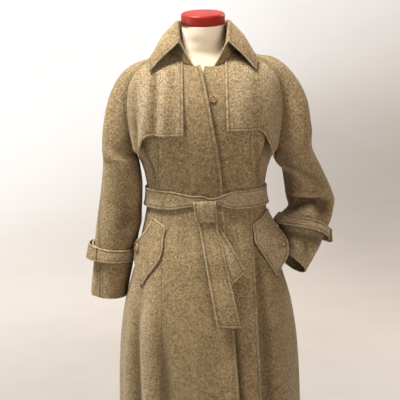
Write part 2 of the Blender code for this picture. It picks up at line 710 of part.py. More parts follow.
# The belt follows the waist and climbs over the lapped edge
def belt_surface(angle, z, out):
    point, normal = coat_line(angle, z), coat_normal(angle, z)
    step = lap_cover(point.x, z) if math.cos(angle) > 0 else 0.0
    return (point + normal * (out + step), normal)


def add_belt():
    grid = []
    for step in BELT_STEPS:
        z = WAIST_Z + BELT_WIDTH * step
        angles = [2 * math.pi * (column % BELT_COLUMNS) / BELT_COLUMNS for column in range(BELT_COLUMNS + 1)]
        grid.append([belt_surface(angle, z, BELT_GAP + BELT_THICK) for angle in angles])
    add_wall("belt", grid, BELT_THICK, ring=True)
    for name, tail in TAILS.items():
        add_tail(name, tail)


def add_tail(name, tail):
    grid = []
    for drop in TAIL_STEPS:
        line = []
        for share in TAIL_SHARES:
            upper = Vector(tail.top_left).lerp(Vector(tail.top_right), share)
            lower = Vector(tail.low_left).lerp(Vector(tail.low_right), share)
            x, z = upper.lerp(lower, drop)
            line.append(belt_surface(angle_at(x, z), z, tail.gap + TAIL_THICK))
        grid.append(line)
    add_wall(name, grid, TAIL_THICK)


def add_belt_knot():
    x, z = KNOT_PLACE
    low_z = WAIST_Z - BELT_WIDTH / 2
    face, _ = belt_surface(angle_at(x, low_z), low_z, BELT_GAP + BELT_THICK + REST_GAP)
    mesh = bmesh.new()
    bmesh.ops.create_cube(mesh, size=1)
    bmesh.ops.scale(mesh, vec=KNOT_SIZE, verts=mesh.verts)
    bmesh.ops.bevel(
        mesh, geom=mesh.edges[:], offset=KNOT_ROUNDING, segments=2, profile=0.5, affect="EDGES", material=-1
    )
    bmesh.ops.translate(mesh, vec=(x, face.y - KNOT_SIZE[1] / 2, z), verts=mesh.verts)
    add_piece("belt_knot", mesh, "tweed")


# The collar stands up from the neckline, rolls over and falls outwards to its pointed leaves
def neckline():
    cloth_middle = -CLOTH / 2
    places = [(angle_at(x, z, back=True), z) for x, z in reversed(NECK_BACK)]
    line = [coat_line(angle, z) + coat_normal(angle, z) * cloth_middle for angle, z in places]
    over = OVER_ARM["left"][0]
    line.append(Vector((over.x + cloth_middle, 0, over.z)))
    places = [(angle_at(x, z), z) for x, z in [(RAGLAN[0].x, RAGLAN[0].z)] + NECK_FRONT]
    line += [coat_line(angle, z) + coat_normal(angle, z) * cloth_middle for angle, z in places]
    return [point + Vector((0, 0, REST_GAP)) for point in line]


def collar_profile(foot, row, spread):
    roll = Vector(row.roll)
    edge = Vector((row.edge[0] * spread, row.edge[1], row.edge[2]))
    outward = Vector((edge.x - roll.x, edge.y - roll.y, 0)).normalized()
    drop = Vector((0, 0, COLLAR_ROLL))
    inside, outside = roll - outward * COLLAR_ROLL - drop, roll + outward * COLLAR_ROLL - drop
    fall = (edge - outside).normalized()
    lift = (outward + Vector((0, 0, 1)) - fall * fall.dot(outward + Vector((0, 0, 1)))).normalized()
    middle = (outside + edge) / 2 + lift * row.bulge
    return [foot, (foot + inside) / 2, inside, roll, outside, middle, edge]


def grid_normals(points):
    grid = []
    for r, row in enumerate(points):
        line = []
        for c, point in enumerate(row):
            across = row[min(c + 1, len(row) - 1)] - row[max(c - 1, 0)]
            down = points[min(r + 1, len(points) - 1)][c] - points[max(r - 1, 0)][c]
            line.append((point, across.cross(down).normalized()))
        grid.append(line)
    return grid


def add_collar():
    half = {}
    for side, spread in COLLAR_SPREAD.items():
        half[side] = [collar_profile(foot, row, spread) for foot, row in zip(neckline(), COLLAR)]
    flip = Vector((-1, 1, 1))
    right = [[point * flip for point in row] for row in half["right"][1:]]
    add_wall("collar", grid_normals(list(reversed(right)) + half["left"]), COLLAR_THICK)


# The form's rings lean forwards towards the top of its neck, so that the cap sits tilted on it
def add_form():
    columns = FORM_COLUMNS
    mesh = bmesh.new()
    heights = [ring.z for ring in FORM_RINGS]
    bmesh.ops.create_grid(mesh, x_segments=columns, y_segments=len(heights) - 1, size=1)
    for index, vert in enumerate(mesh.verts):
        z = heights[index // (columns + 1)]
        angle = 2 * math.pi * (index % (columns + 1) % columns) / columns
        vert.co = ring_point(between(FORM_RINGS, z), angle, z)
        lean = math.tan(NECK_TILT) * ease(z, FORM_LEAN_Z, FORM_RINGS[-1].z)
        vert.co.z += (vert.co.y - CAP_PLACE[1]) * lean
    bmesh.ops.remove_doubles(mesh, verts=mesh.verts, dist=1e-6)
    bmesh.ops.holes_fill(mesh, edges=[edge for edge in mesh.edges if edge.is_boundary], sides=columns)
    add_piece("form_torso", mesh, "form_cloth")


def add_disc(name, radius, low_z, high_z, finish, rounding=0.0):
    mesh = bmesh.new()
    bmesh.ops.create_cone(
        mesh, cap_ends=True, segments=32, radius1=radius, radius2=radius, depth=high_z - low_z
    )
    if rounding:
        rim = [edge for edge in mesh.edges if min(vert.co.z for vert in edge.verts) > 0]
        bmesh.ops.bevel(
            mesh, geom=rim, offset=rounding, segments=2, profile=0.5, affect="EDGES", material=-1
        )
    bmesh.ops.translate(mesh, vec=(0, 0, (low_z + high_z) / 2), verts=mesh.verts)
    return add_piece(name, mesh, finish)


def add_stand():
    cap = add_disc("neck_cap", CAP_RADIUS, -CAP_THICK / 2, CAP_THICK / 2, "cap_red", CAP_ROUNDING)
    cap.location = CAP_PLACE
    cap.rotation_euler = (NECK_TILT, 0, 0)
    add_disc("stand_pole", POLE_RADIUS, BASE_THICK + SEAM_GAP, FORM_BOTTOM_Z - SEAM_GAP, "metal")
    add_disc("stand_base", BASE_RADIUS, 0, BASE_THICK, "metal", BASE_ROUNDING)


for old in list(bpy.data.objects):
    bpy.data.objects.remove(old)
finishes = {name: make_finish(name, *values) for name, values in FINISHES.items()}
add_back()
add_fronts()
add_side_fronts()
add_sleeves()
add_cuff_straps()
add_storm_flaps()
add_pockets()
add_buttons()
add_belt()
add_belt_knot()
add_collar()
add_form()
add_stand()
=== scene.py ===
# Tweed coat on a dress form: cloth shells, stitching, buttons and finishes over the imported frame.
# Metres, +Z up, the front faces -Y. Right and left are the wearer's, so the right side is at -X.
import math

import bmesh
import bpy
import numpy as np
from mathutils import Matrix, Vector


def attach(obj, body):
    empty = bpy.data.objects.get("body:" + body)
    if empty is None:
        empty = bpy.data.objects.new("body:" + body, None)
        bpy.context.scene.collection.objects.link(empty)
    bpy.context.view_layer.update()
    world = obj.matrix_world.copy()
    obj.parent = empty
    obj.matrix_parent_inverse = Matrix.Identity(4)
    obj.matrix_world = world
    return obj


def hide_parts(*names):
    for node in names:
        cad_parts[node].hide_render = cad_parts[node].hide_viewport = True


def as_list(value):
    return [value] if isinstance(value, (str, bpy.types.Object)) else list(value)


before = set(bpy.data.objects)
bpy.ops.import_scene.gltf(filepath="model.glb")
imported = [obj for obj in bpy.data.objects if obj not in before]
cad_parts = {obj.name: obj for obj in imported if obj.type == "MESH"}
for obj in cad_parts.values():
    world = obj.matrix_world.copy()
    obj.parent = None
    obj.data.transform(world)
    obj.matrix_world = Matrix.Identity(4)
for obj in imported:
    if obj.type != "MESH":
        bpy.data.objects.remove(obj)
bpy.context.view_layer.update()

sides = {"right": -1, "left": 1}


def addObject(name, data):
    made = bpy.data.objects.new(name, data)
    bpy.context.scene.collection.objects.link(made)
    return made


def keepMesh(name, mesh):
    data = bpy.data.meshes.new(name)
    mesh.to_mesh(data)
    mesh.free()
    return data


# Camera at the photograph's viewing angle
view = {"place": (-0.0155, -2.778, 1.5), "pitch": 9.0, "roll": -1.08, "lens": 101.25, "sensor": 36.0}


def placeCamera():
    data = bpy.data.cameras.new("camera")
    data.lens = view["lens"]
    data.sensor_width = view["sensor"]
    camera = addObject("camera", data)
    pitch, roll = math.radians(view["pitch"]), math.radians(view["roll"])
    turn = Matrix.Rotation(math.pi / 2 - pitch, 4, "X") @ Matrix.Rotation(roll, 4, "Z")
    camera.matrix_world = Matrix.Translation(view["place"]) @ turn
    bpy.context.scene.camera = camera


placeCamera()
print("camera placed")


# Shader maths: a wire is a socket that Python's operators can be used on
class Wire:
    def __init__(self, finish, socket):
        self.finish = finish
        self.socket = socket

    def __add__(self, other):
        return self.finish.maths("ADD", self, other)

    def __radd__(self, other):
        return self.finish.maths("ADD", other, self)

    def __sub__(self, other):
        return self.finish.maths("SUBTRACT", self, other)

    def __rsub__(self, other):
        return self.finish.maths("SUBTRACT", other, self)

    def __mul__(self, other):
        return self.finish.maths("MULTIPLY", self, other)

    def __rmul__(self, other):
        return self.finish.maths("MULTIPLY", other, self)

    def __truediv__(self, other):
        return self.finish.maths("DIVIDE", self, other)

    def __mod__(self, other):
        return self.finish.maths("FLOORED_MODULO", self, other)

    def __lt__(self, other):
        return self.finish.maths("LESS_THAN", self, other)


class Finish:
    def __init__(self, name, fixed, world=None):
        self.material = world or bpy.data.materials.new(name)
        self.material.use_nodes = True
        self.tree = self.material.node_tree
        self.shader = self.tree.nodes["Background" if world else "Principled BSDF"]
        for socket, value in fixed.items():
            self.shader.inputs[socket].default_value = value

    def node(self, kind, settings=None, values=None, output=0):
        made = self.tree.nodes.new("ShaderNode" + kind)
        for key, value in (settings or {}).items():
            if key == "stops":
                ramp = made.color_ramp
                while len(ramp.elements) < len(value):
                    ramp.elements.new(1.0)
                for element, (place, colour) in zip(ramp.elements, value):
                    element.position = place
                    element.color = (*colour, 1.0)
            else:
                setattr(made, key, value)
        for socket, value in (values or {}).items():
            if isinstance(value, Wire):
                self.tree.links.new(value.socket, made.inputs[socket])
            else:
                made.inputs[socket].default_value = value
        return Wire(self, made.outputs[output])

    def maths(self, operation, first, second=0.0):
        return self.node("Math", {"operation": operation}, {0: first, 1: second})

    def blend(self, factor, first, second, mode="MIX"):
        settings = {"data_type": "RGBA", "blend_type": mode}
        return self.node("Mix", settings, {0: factor, 6: first, 7: second}, output=2)

    def noise(self, place, scale, detail=2.0, rough=0.5):
        values = {"Vector": place, "Scale": scale, "Detail": detail, "Roughness": rough}
        return self.node("TexNoise", {"noise_dimensions": "3D"}, values)

    def smooth(self, value, low, high, start=0.0, end=1.0):
        values = {"Value": value, "From Min": low, "From Max": high, "To Min": start, "To Max": end}
        return self.node("MapRange", {"interpolation_type": "SMOOTHSTEP"}, values)

    def ramp(self, factor, stops):
        return self.node("ValToRGB", {"stops": stops}, {"Fac": factor})

    def axes(self, place):
        split = self.tree.nodes.new("ShaderNodeSeparateXYZ")
        self.tree.links.new(place.socket, split.inputs[0])
        return [Wire(self, socket) for socket in split.outputs]

    def feed(self, socket, wire):
        self.tree.links.new(wire.socket, self.shader.inputs[socket])

    def relief(self, height, strength, distance):
        values = {"Height": height, "Strength": strength, "Distance": distance}
        self.feed("Normal", self.node("Bump", None, values))


# Woollen tweed: a two and two twill of mixed yarns on the piece's own flat lay, in metres
tweed = {
    "yarn": 0.00145, "warpRun": 9.0, "weftRun": 6.0, "fleck": 450.0, "fray": 0.0013, "frayScale": 260.0,
    "wander": 90.0, "warpWander": 2.4, "weftWander": 2.0, "round": 3.2, "rare": 0.955, "rareGain": 16.0,
    "warp": [(0.0, (0.15, 0.11, 0.06)), (0.35, (0.205, 0.152, 0.084)), (0.7, (0.25, 0.19, 0.108)),
             (1.0, (0.19, 0.155, 0.085))],
    "weft": [(0.0, (0.225, 0.168, 0.094)), (0.45, (0.275, 0.208, 0.12)), (0.8, (0.33, 0.258, 0.155)),
             (1.0, (0.24, 0.15, 0.08))],
    "flecks": [(0.0, (0.5, 0.49, 0.47)), (0.5, (0.95, 0.95, 0.95)), (0.9, (1.34, 1.36, 1.38)),
               (1.0, (1.6, 1.62, 1.64))],
    "hues": [(0.0, (0.92, 1.01, 1.09)), (1.0, (1.08, 0.99, 0.87))],
    "nubs": [(0.0, (0.62, 0.53, 0.36)), (0.5, (0.3, 0.13, 0.05)), (1.0, (0.5, 0.44, 0.3))],
    # Painted highlight colour for lit edges and crests, and painted shade colour for seams, creases and
    # hollows
    "paintedHighlight": (0.5, 0.422, 0.292, 1.0), "paintedShade": (0.06, 0.042, 0.021, 1.0),
    "relief": 0.0006,
}


def makeTweed():
    finish = Finish("tweed", {"Roughness": 0.95, "Sheen Weight": 0.08, "Sheen Roughness": 0.45,
                              "Specular IOR Level": 0.12})
    lay = finish.node("UVMap", {"uv_map": "weave"})
    wander = finish.noise(lay, tweed["wander"], 1.0)
    u, v, _ = finish.axes(lay)
    yarn = tweed["yarn"]
    warpAt = u / yarn + wander * tweed["warpWander"]
    weftAt = v / yarn + wander * tweed["weftWander"]
    warpIndex = finish.maths("FLOOR", warpAt)
    weftIndex = finish.maths("FLOOR", weftAt)
    over = (warpIndex + weftIndex) % 4.0 < 2.0
    warpRun = finish.maths("FLOOR", weftAt / tweed["warpRun"])
    weftRun = finish.maths("FLOOR", warpAt / tweed["weftRun"])
    warpPlace = finish.node("CombineXYZ", None, {0: warpIndex, 1: warpRun})
    weftPlace = finish.node("CombineXYZ", None, {0: weftRun, 1: weftIndex, 2: 7.0})
    warpColour = finish.ramp(finish.node("TexWhiteNoise", None, {"Vector": warpPlace}), tweed["warp"])
    weftColour = finish.ramp(finish.node("TexWhiteNoise", None, {"Vector": weftPlace}), tweed["weft"])
    yarns = finish.blend(over, weftColour, warpColour)
    fray = finish.node("TexNoise", None, {"Vector": lay, "Scale": tweed["frayScale"], "Detail": 1.0},
                       output=1)
    frayed = finish.node("VectorMath", {"operation": "MULTIPLY_ADD"},
                         {0: fray, 1: (tweed["fray"],) * 3, 2: lay})
    cells = finish.node("TexVoronoi", {"voronoi_dimensions": "2D"},
                        {"Vector": frayed, "Scale": tweed["fleck"]}, output=1)
    tone, hue, rare = finish.axes(cells)
    shade = finish.blend(1.0, yarns, finish.ramp(tone, tweed["flecks"]), "MULTIPLY")
    shade = finish.blend(1.0, shade, finish.ramp(hue, tweed["hues"]), "MULTIPLY")
    nub = finish.maths("MAXIMUM", (rare - tweed["rare"]) * tweed["rareGain"], 0.0)
    shade = finish.blend(nub, shade, finish.ramp(hue, tweed["nubs"]))
    # Slow random changes of tone across the cloth
    drift = finish.noise(lay, 7.0, 2.0)
    worn = finish.ramp(drift, [(0.25, (0.88, 0.87, 0.86)), (0.75, (1.1, 1.1, 1.1))])
    shade = finish.blend(1.0, shade, worn, "MULTIPLY")
    # Painted highlight on lit edges, crests and lighter pieces, and painted shade in seams, creases, hollows
    # and gaps, both read from the cloth's attributes
    rub = finish.node("Attribute", {"attribute_name": "rub"}, output=2)
    groove = finish.node("Attribute", {"attribute_name": "groove"}, output=2)
    shade = finish.blend(rub * (0.12 + tone * 0.48), shade, tweed["paintedHighlight"])
    finish.feed("Base Color", finish.blend(groove * 0.75, shade, tweed["paintedShade"]))
    acrossWarp = warpAt % 1.0 - 0.5
    acrossWeft = weftAt % 1.0 - 0.5
    warpRound = 1.0 - acrossWarp * acrossWarp * tweed["round"]
    weftRound = 1.0 - acrossWeft * acrossWeft * tweed["round"]
    height = warpRound * over + weftRound * (1.0 - over)
    fuzz = finish.noise(lay, 900.0, 2.0, 0.7)
    finish.relief(height * 0.4 + fuzz * 0.4 + finish.noise(lay, 300.0, 1.0) * 0.7, 0.45, tweed["relief"])
    finish.feed("Roughness", 0.86 + fuzz * 0.14)
    return finish.material


def makeThread():
    finish = Finish("thread", {"Specular IOR Level": 0.25})
    place = finish.node("TexCoord", output=3)
    twist = finish.noise(place, 1400.0, 1.0)
    finish.feed("Base Color", finish.ramp(twist, [
        (0.3, (0.12, 0.09, 0.05)), (0.7, (0.27, 0.21, 0.12))]))
    finish.feed("Roughness", 0.55 + twist * 0.3)
    return finish.material


# Brown horn-like button, streaked and polished
def makeHorn():
    finish = Finish("button", {"Coat Roughness": 0.18, "Specular IOR Level": 0.5})
    place = finish.node("TexCoord", output=3)
    streak = finish.node("Mapping", None, {"Vector": place, "Scale": (1.0, 1.0, 0.25)})
    grain = finish.noise(streak, 480.0, 3.0, 0.6)
    horn = finish.ramp(grain, [
        (0.3, (0.26, 0.14, 0.046)), (0.5, (0.42, 0.25, 0.09)), (0.7, (0.58, 0.39, 0.18))])
    ring = finish.node("Attribute", {"attribute_name": "groove"}, output=2)
    finish.feed("Base Color", finish.blend(ring * 0.9, horn, (0.022, 0.01, 0.004, 1.0)))
    finish.feed("Roughness", 0.26 + grain * 0.22)
    finish.feed("Coat Weight", grain * 0.5)
    return finish.material


# Fine cream jersey: ribs round the form and a little fuzz
def makeJersey():
    finish = Finish("jersey", {"Sheen Weight": 0.15, "Sheen Roughness": 0.5, "Specular IOR Level": 0.2})
    place = finish.node("TexCoord", output=3)
    _, _, z = finish.axes(place)
    loops = finish.node("TexWave", {"wave_type": "BANDS", "bands_direction": "Z"},
                        {"Vector": place, "Scale": 300.0, "Distortion": 0.6, "Detail": 1.0}, output=1)
    fuzz = finish.noise(place, 700.0, 2.0)
    tone = finish.noise(place, 14.0, 2.0)
    cover = finish.ramp(tone * 0.7 + loops * 0.15 + fuzz * 0.15, [
        (0.25, (0.87, 0.8, 0.66)), (0.75, (0.94, 0.885, 0.755))])
    low = finish.smooth(z, 1.4, 1.475, 1.0, 0.0)  # darker in the shade of the collar
    finish.feed("Base Color", finish.blend(low, cover, (0.56, 0.49, 0.37, 1.0)))
    finish.feed("Roughness", 0.78 + fuzz * 0.18)
    finish.relief(loops * 0.5 + fuzz * 0.5, 0.35, 0.0004)
    return finish.material


def makeCapRed():
    finish = Finish("capRed", {"Coat Roughness": 0.3, "Specular IOR Level": 0.22})
    place = finish.node("TexCoord", output=3)
    tone = finish.noise(place, 35.0, 3.0)
    dust = finish.noise(place, 420.0, 3.0, 0.7)
    finish.feed("Base Color", finish.ramp(tone, [
        (0.25, (0.26, 0.009, 0.004)), (0.75, (0.32, 0.014, 0.006))]))
    finish.feed("Roughness", 0.38 + dust * 0.2)
    finish.feed("Coat Weight", tone * 0.3)
    finish.relief(tone * 0.6 + dust * 0.1, 0.25, 0.0008)
    return finish.material


# Satin steel, brushed round the pole and the foot
def makeSteel():
    finish = Finish("steel", {"Metallic": 1.0})
    place = finish.node("TexCoord", output=3)
    brushed = finish.node("Mapping", None, {"Vector": place, "Scale": (40.0, 40.0, 1100.0)})
    lines = finish.noise(brushed, 1.0, 3.0, 0.65)
    # Uneven wear across the satin steel
    wearAndPaintedLight = finish.noise(place, 9.0, 3.0)
    finish.feed("Base Color", finish.ramp(lines * 0.6 + wearAndPaintedLight * 0.4, [
        (0.3, (0.42, 0.415, 0.405)), (0.7, (0.64, 0.635, 0.62))]))
    finish.feed("Roughness", 0.26 + lines * 0.2 + wearAndPaintedLight * 0.08)
    finish.relief(lines, 0.12, 0.0003)
    return finish.material


finishes = {
    "tweed": makeTweed(),
    "thread": makeThread(),
    "button": makeHorn(),
    "form_cloth": makeJersey(),
    "cap_red": makeCapRed(),
    "metal": makeSteel(),
}
print("finishes made:", ", ".join(finishes))


# Tables are read on a smooth curve through their rows
def readTable(rows, at):
    rows = np.asarray(rows, float)
    at = np.clip(np.asarray(at, float), rows[0, 0], rows[-1, 0])
    place = np.clip(np.searchsorted(rows[:, 0], at) - 1, 0, len(rows) - 2)
    low, high = rows[place], rows[place + 1]
    before, after = rows[np.maximum(place - 1, 0)], rows[np.minimum(place + 2, len(rows) - 1)]
    span = high[..., :1] - low[..., :1]
    t = (at[..., None] - low[..., :1]) / span
    slopeLow = (high - before) / (high[..., :1] - before[..., :1]) * span
    slopeHigh = (after - low) / (after[..., :1] - low[..., :1]) * span
    ends = low * (1 + 2 * t) * (1 - t) ** 2 + high * t * t * (3 - 2 * t)
    return ends + slopeLow * t * (1 - t) ** 2 - slopeHigh * t * t * (1 - t)


def ease(value, start, end):
    t = np.clip((value - start) / (end - start), 0.0, 1.0)
    return t * t * (3 - 2 * t)


# Rises between the first two values and dies away between the last two
def band(value, start, full, fade, end):
    return ease(value, start, full) * (1 - ease(value, fade, end))


# Grows from nothing at the top to all of it a length further down
def fall(z, top, length):
    return ease(top - z, 0, length)


def unit(vectors):
    return vectors / np.maximum(np.linalg.norm(vectors, axis=-1, keepdims=True), 1e-12)


def hump(away, width):
    return np.exp(-(away / width) ** 2)


# A soft line of shade or rise: how much of it, where and how wide
def softLine(past, amount, at, width):
    return amount * hump(past - at, width)


nearEdge = (0.0, 0.0002, 0.0006, 0.0013, 0.0024, 0.0039, 0.0054, 0.0068, 0.0084, 0.0105)


# Shares of a length, close together by the edges where the cloth turns and is stitched
def edgeSteps(length, step, start=True, end=True):
    near = np.array(nearEdge)
    low = near if start else near[:1]
    high = length - (near[::-1] if end else near[:1])
    count = max(int(math.ceil((high[0] - low[-1]) / step)), 1)
    middle = np.linspace(low[-1], high[0], count + 1)[1:-1]
    return np.concatenate([low, middle, high]) / length


# The body of the coat. Rings are height, half width, reach forwards and backwards, and squareness.
# Folds run from an angle at the top to an angle at the hem; creases are smaller, between two points.
body = {
    "hemZ": 0.29, "underarmZ": 1.175, "rowsTop": 1.125,
    "thick": 0.0022, "step": 0.0055, "edge": 0.0015, "turnUp": 0.045,
    # Painted highlight on fold crests, painted shade in fold hollows and on the lower skirt
    "wearAndPaintedLight": {"crest": 0.95, "crestRise": 0.012, "hollow": 0.65, "hollowRise": 0.01,
             "skirt": 0.28, "skirtFall": (0.95, 0.25)},
    "belowBelt": (1.045, 0.15), "creaseReach": (-0.05, 0.35, 0.55, 1.05), "creaseRadius": 0.16,
    "upperLength": 0.27, "backWidth": 0.62, "frontSteps": 2,
    "lapLift": 0.0037, "lapSlope": (0.03, 0.009), "lapFall": (0.006, 0.03),
    "lapStand": 0.012, "lapGap": 0.0085, "seamRidge": 0.0062, "seamRecess": 0.0085, "seamTuck": 0.045,
    "rings": [
        (0.29, 0.245, 0.215, 0.215, 2.1), (0.54, 0.2285, 0.19, 0.19, 2.1),
        (0.71, 0.2165, 0.172, 0.172, 2.12), (0.8, 0.203, 0.16, 0.16, 2.14),
        (0.88, 0.186, 0.15, 0.15, 2.16), (0.95, 0.171, 0.14, 0.138, 2.18),
        (1.01, 0.156, 0.128, 0.12, 2.2), (1.076, 0.1455, 0.117, 0.1, 2.2),
        (1.13, 0.151, 0.126, 0.104, 2.25), (1.16, 0.16, 0.133, 0.108, 2.3),
        (1.2, 0.178, 0.14, 0.113, 2.4), (1.25, 0.19, 0.1435, 0.117, 2.5),
        (1.3, 0.197, 0.138, 0.118, 2.5), (1.34, 0.1975, 0.124, 0.114, 2.5),
        (1.37, 0.19, 0.107, 0.106, 2.5), (1.395, 0.168, 0.086, 0.094, 2.5),
        (1.412, 0.135, 0.066, 0.08, 2.5), (1.425, 0.097, 0.05, 0.068, 2.5),
        (1.435, 0.079, 0.042, 0.061, 2.5), (1.446, 0.07, 0.036, 0.056, 2.5),
    ],
    "folds": [  # angle at the top, angle at the hem, top, where it is full, spread in degrees, rise
        (-32, -24, 0.84, 0.64, 6.0, -0.0085), (-46, -32, 0.92, 0.72, 7.0, 0.012),
        (-58, -45, 0.88, 0.66, 5.5, -0.008), (-67, -55, 0.84, 0.6, 5.0, 0.008),
        (-88, -80, 0.8, 0.42, 8.0, -0.005),
        (-84, -84, 0.93, 0.8, 16.0, 0.008), (-84, -84, 0.62, 0.4, 16.0, -0.006),
        (42, 39, 1.02, 0.8, 4.5, -0.006), (62, 58, 0.84, 0.5, 9.0, 0.008),
        (88, 80, 0.8, 0.42, 8.0, -0.005), (84, 84, 0.93, 0.8, 16.0, 0.008),
        (84, 84, 0.62, 0.4, 16.0, -0.006), (112, 118, 0.92, 0.45, 10.0, 0.008),
        (150, 147, 1.0, 0.5, 9.0, 0.009), (176, 174, 0.9, 0.45, 9.0, -0.0105),
        (204, 207, 1.0, 0.5, 10.0, 0.01), (244, 240, 0.92, 0.45, 10.0, 0.008),
    ],
    "creases": [  # angle and height of the upper end, the same of the lower end, width, rise
        (54, 1.27, 51, 1.095, 0.01, -0.0085), (44, 1.25, 44, 1.095, 0.008, 0.0042),
        (-56, 1.25, -53, 1.095, 0.009, -0.007), (-44, 1.23, -45, 1.1, 0.008, 0.0034),
        (70, 1.18, 64, 1.085, 0.0085, 0.0026), (-70, 1.17, -66, 1.085, 0.008, 0.0024),
        (24, 1.19, 22, 1.09, 0.01, -0.0012), (-16, 1.185, -14, 1.09, 0.011, -0.0013),
        (12, 1.06, 8, 0.93, 0.01, 0.0016), (30, 1.06, 27, 0.9, 0.011, 0.0028),
        (-14, 1.06, -13, 0.94, 0.01, -0.0014), (-27, 1.06, -24, 0.93, 0.01, 0.0022),
        (98, 1.066, 102, 0.9, 0.0095, -0.003), (108, 1.175, 104, 1.08, 0.0085, 0.003),
        (120, 1.066, 126, 0.83, 0.012, 0.0042), (131, 1.19, 128, 1.085, 0.01, -0.0034),
        (139, 1.064, 141, 0.88, 0.0085, -0.0034), (146, 1.21, 143, 1.08, 0.009, 0.0032),
        (160, 1.066, 164, 0.85, 0.011, 0.0036), (166, 1.23, 163, 1.085, 0.01, -0.003),
        (178, 1.066, 181, 0.9, 0.009, -0.0032), (184, 1.2, 186, 1.08, 0.0085, 0.0028),
        (193, 1.064, 192, 0.86, 0.01, 0.0036), (203, 1.24, 206, 1.085, 0.01, -0.0034),
        (216, 1.066, 214, 0.89, 0.0085, -0.003), (221, 1.19, 224, 1.08, 0.009, 0.0034),
        (229, 1.066, 226, 0.84, 0.0115, 0.0042), (243, 1.2, 240, 1.085, 0.0095, -0.0028),
        (254, 1.066, 258, 0.9, 0.009, -0.003), (260, 1.17, 257, 1.08, 0.0085, 0.0026),
        (150, 1.345, 139, 1.235, 0.015, 0.004), (211, 1.335, 222, 1.23, 0.014, 0.0038),
        (135, 0.76, 131, 0.2, 0.02, -0.009), (226, 0.78, 229, 0.2, 0.02, -0.009),
        (163, 0.56, 161, 0.295, 0.016, -0.0035), (100, 0.6, 103, 0.3, 0.016, -0.0035),
        (20, 0.56, 19, 0.3, 0.022, 0.003), (-12, 0.6, -11, 0.3, 0.024, -0.003),
        (-45, 0.925, -30, 0.1, 0.018, 0.004), (-33, 0.85, -23, 0.1, 0.014, -0.0045),
        (-66, 0.84, -54, 0.1, 0.014, 0.003), (-57, 0.88, -45, 0.1, 0.012, -0.003),
        (55, 0.93, 50, 0.2, 0.02, 0.004),
    ],
    "lapEdge": [
        (0.29, 0.083), (0.581, 0.0685), (0.771, 0.059), (1.026, 0.041), (1.151, 0.0346),
        (1.275, 0.0165), (1.32, 0.008), (1.38, -0.003), (1.4, -0.0095),
    ],
    "underEdge": [(0.29, -0.018), (1.25, -0.018), (1.33, -0.016), (1.38, -0.002), (1.4, 0.002)],
    "panelSeam": [
        (0.29, 0.137), (0.58, 0.1235), (0.83, 0.114), (1.02, 0.1095), (1.107, 0.1145),
        (1.22, 0.113), (1.33, 0.122), (1.4065, 0.135),
    ],
    "raglan": [  # x and height of the seam from the neck to the underarm
        (0.074, 1.426), (0.105, 1.4175), (0.135, 1.4065), (0.158, 1.391), (0.1755, 1.37),
        (0.185, 1.34), (0.1875, 1.305), (0.184, 1.262), (0.1775, 1.224), (0.1725, 1.196),
    ],
    "neckBack": [(0.071, 1.436), (0.036, 1.4395), (0.0, 1.44)],
    "neckFront": [(0.022, 1.3965), (0.05, 1.405)],
}


def coatRise(angle, z):
    total = np.zeros(np.broadcast(angle, z).shape)
    degrees = np.degrees(angle)
    for top, hem, topZ, fullZ, spread, rise in body["folds"]:
        middle = top + (hem - top) * fall(z, topZ, topZ - body["hemZ"])
        away = (degrees - middle + 180) % 360 - 180
        total = total + rise * fall(z, topZ, topZ - fullZ) * hump(away, spread)
    for top, topZ, low, lowZ, width, rise in body["creases"]:
        along = (topZ - z) / (topZ - lowZ)
        away = (degrees - top - (low - top) * along + 180) % 360 - 180
        reach = band(along, *body["creaseReach"])
        total = total + rise * reach * hump(np.radians(away) * body["creaseRadius"], width)
    return total


# A point on the rings of a table: the angle is counted from the middle of the front towards the left
def ringPoint(rings, angle, z):
    ring = readTable(rings, z)
    half, front, back, power = (ring[..., column] for column in range(1, 5))
    sine, cosine = np.sin(angle), np.cos(angle)
    x = np.sign(sine) * np.abs(sine) ** (2 / power) * half
    y = -np.sign(cosine) * np.abs(cosine) ** (2 / power) * np.where(cosine > 0, front, back)
    return x, y


# The coat's outer surface
def coatLine(angle, z):
    angle, z = np.broadcast_arrays(np.asarray(angle, float), np.asarray(z, float))
    x, y = ringPoint(body["rings"], angle, z)
    outward = unit(np.stack([x, y, np.zeros_like(x)], -1))
    return np.stack([x, y, z], -1) + outward * coatRise(angle, z)[..., None]


def coatNormal(angle, z):
    turn, rise = 0.004, 0.002
    across = coatLine(angle + turn, z) - coatLine(angle - turn, z)
    up = coatLine(angle, z + rise) - coatLine(angle, z - rise)
    return unit(np.cross(across, up))


def angleAt(x, z, back=False):
    x, z = np.broadcast_arrays(np.asarray(x, float), np.asarray(z, float))
    ring = readTable(body["rings"], z)
    share = np.minimum(np.abs(x) / ring[..., 1], 1.0)
    angle = np.sign(x) * np.arcsin(share ** (ring[..., 4] / 2))
    return math.pi - angle if back else angle


def lineX(name, z):
    return readTable(body[name], z)[..., 1]


# How far the right front is raised over the left one, and how that step dies away past its edge
def lapRise(x, z):
    under = lineX("underEdge", z)
    return body["lapLift"] * ease(x, under - body["lapSlope"][0], under - body["lapSlope"][1])


def lapCover(x, z):
    edge = lineX("lapEdge", z)
    return lapRise(x, z) * (1 - ease(x, edge + body["lapFall"][0], edge + body["lapFall"][1]))


def raglanRows(back):
    rows = []
    for k, (x, z) in enumerate(body["raglan"]):
        if back and k == 0:
            x, z = body["neckBack"][0]
        rows.append((k, float(angleAt(x, z, back)), z))
    return rows + [(len(rows), math.pi / 2, body["underarmZ"])]


raglanSeam = {"front": raglanRows(False), "back": raglanRows(True)}
raglanEnd = len(body["raglan"])


def raglanAt(half, k):
    row = readTable(raglanSeam[half], k)
    return row[..., 1], row[..., 2]


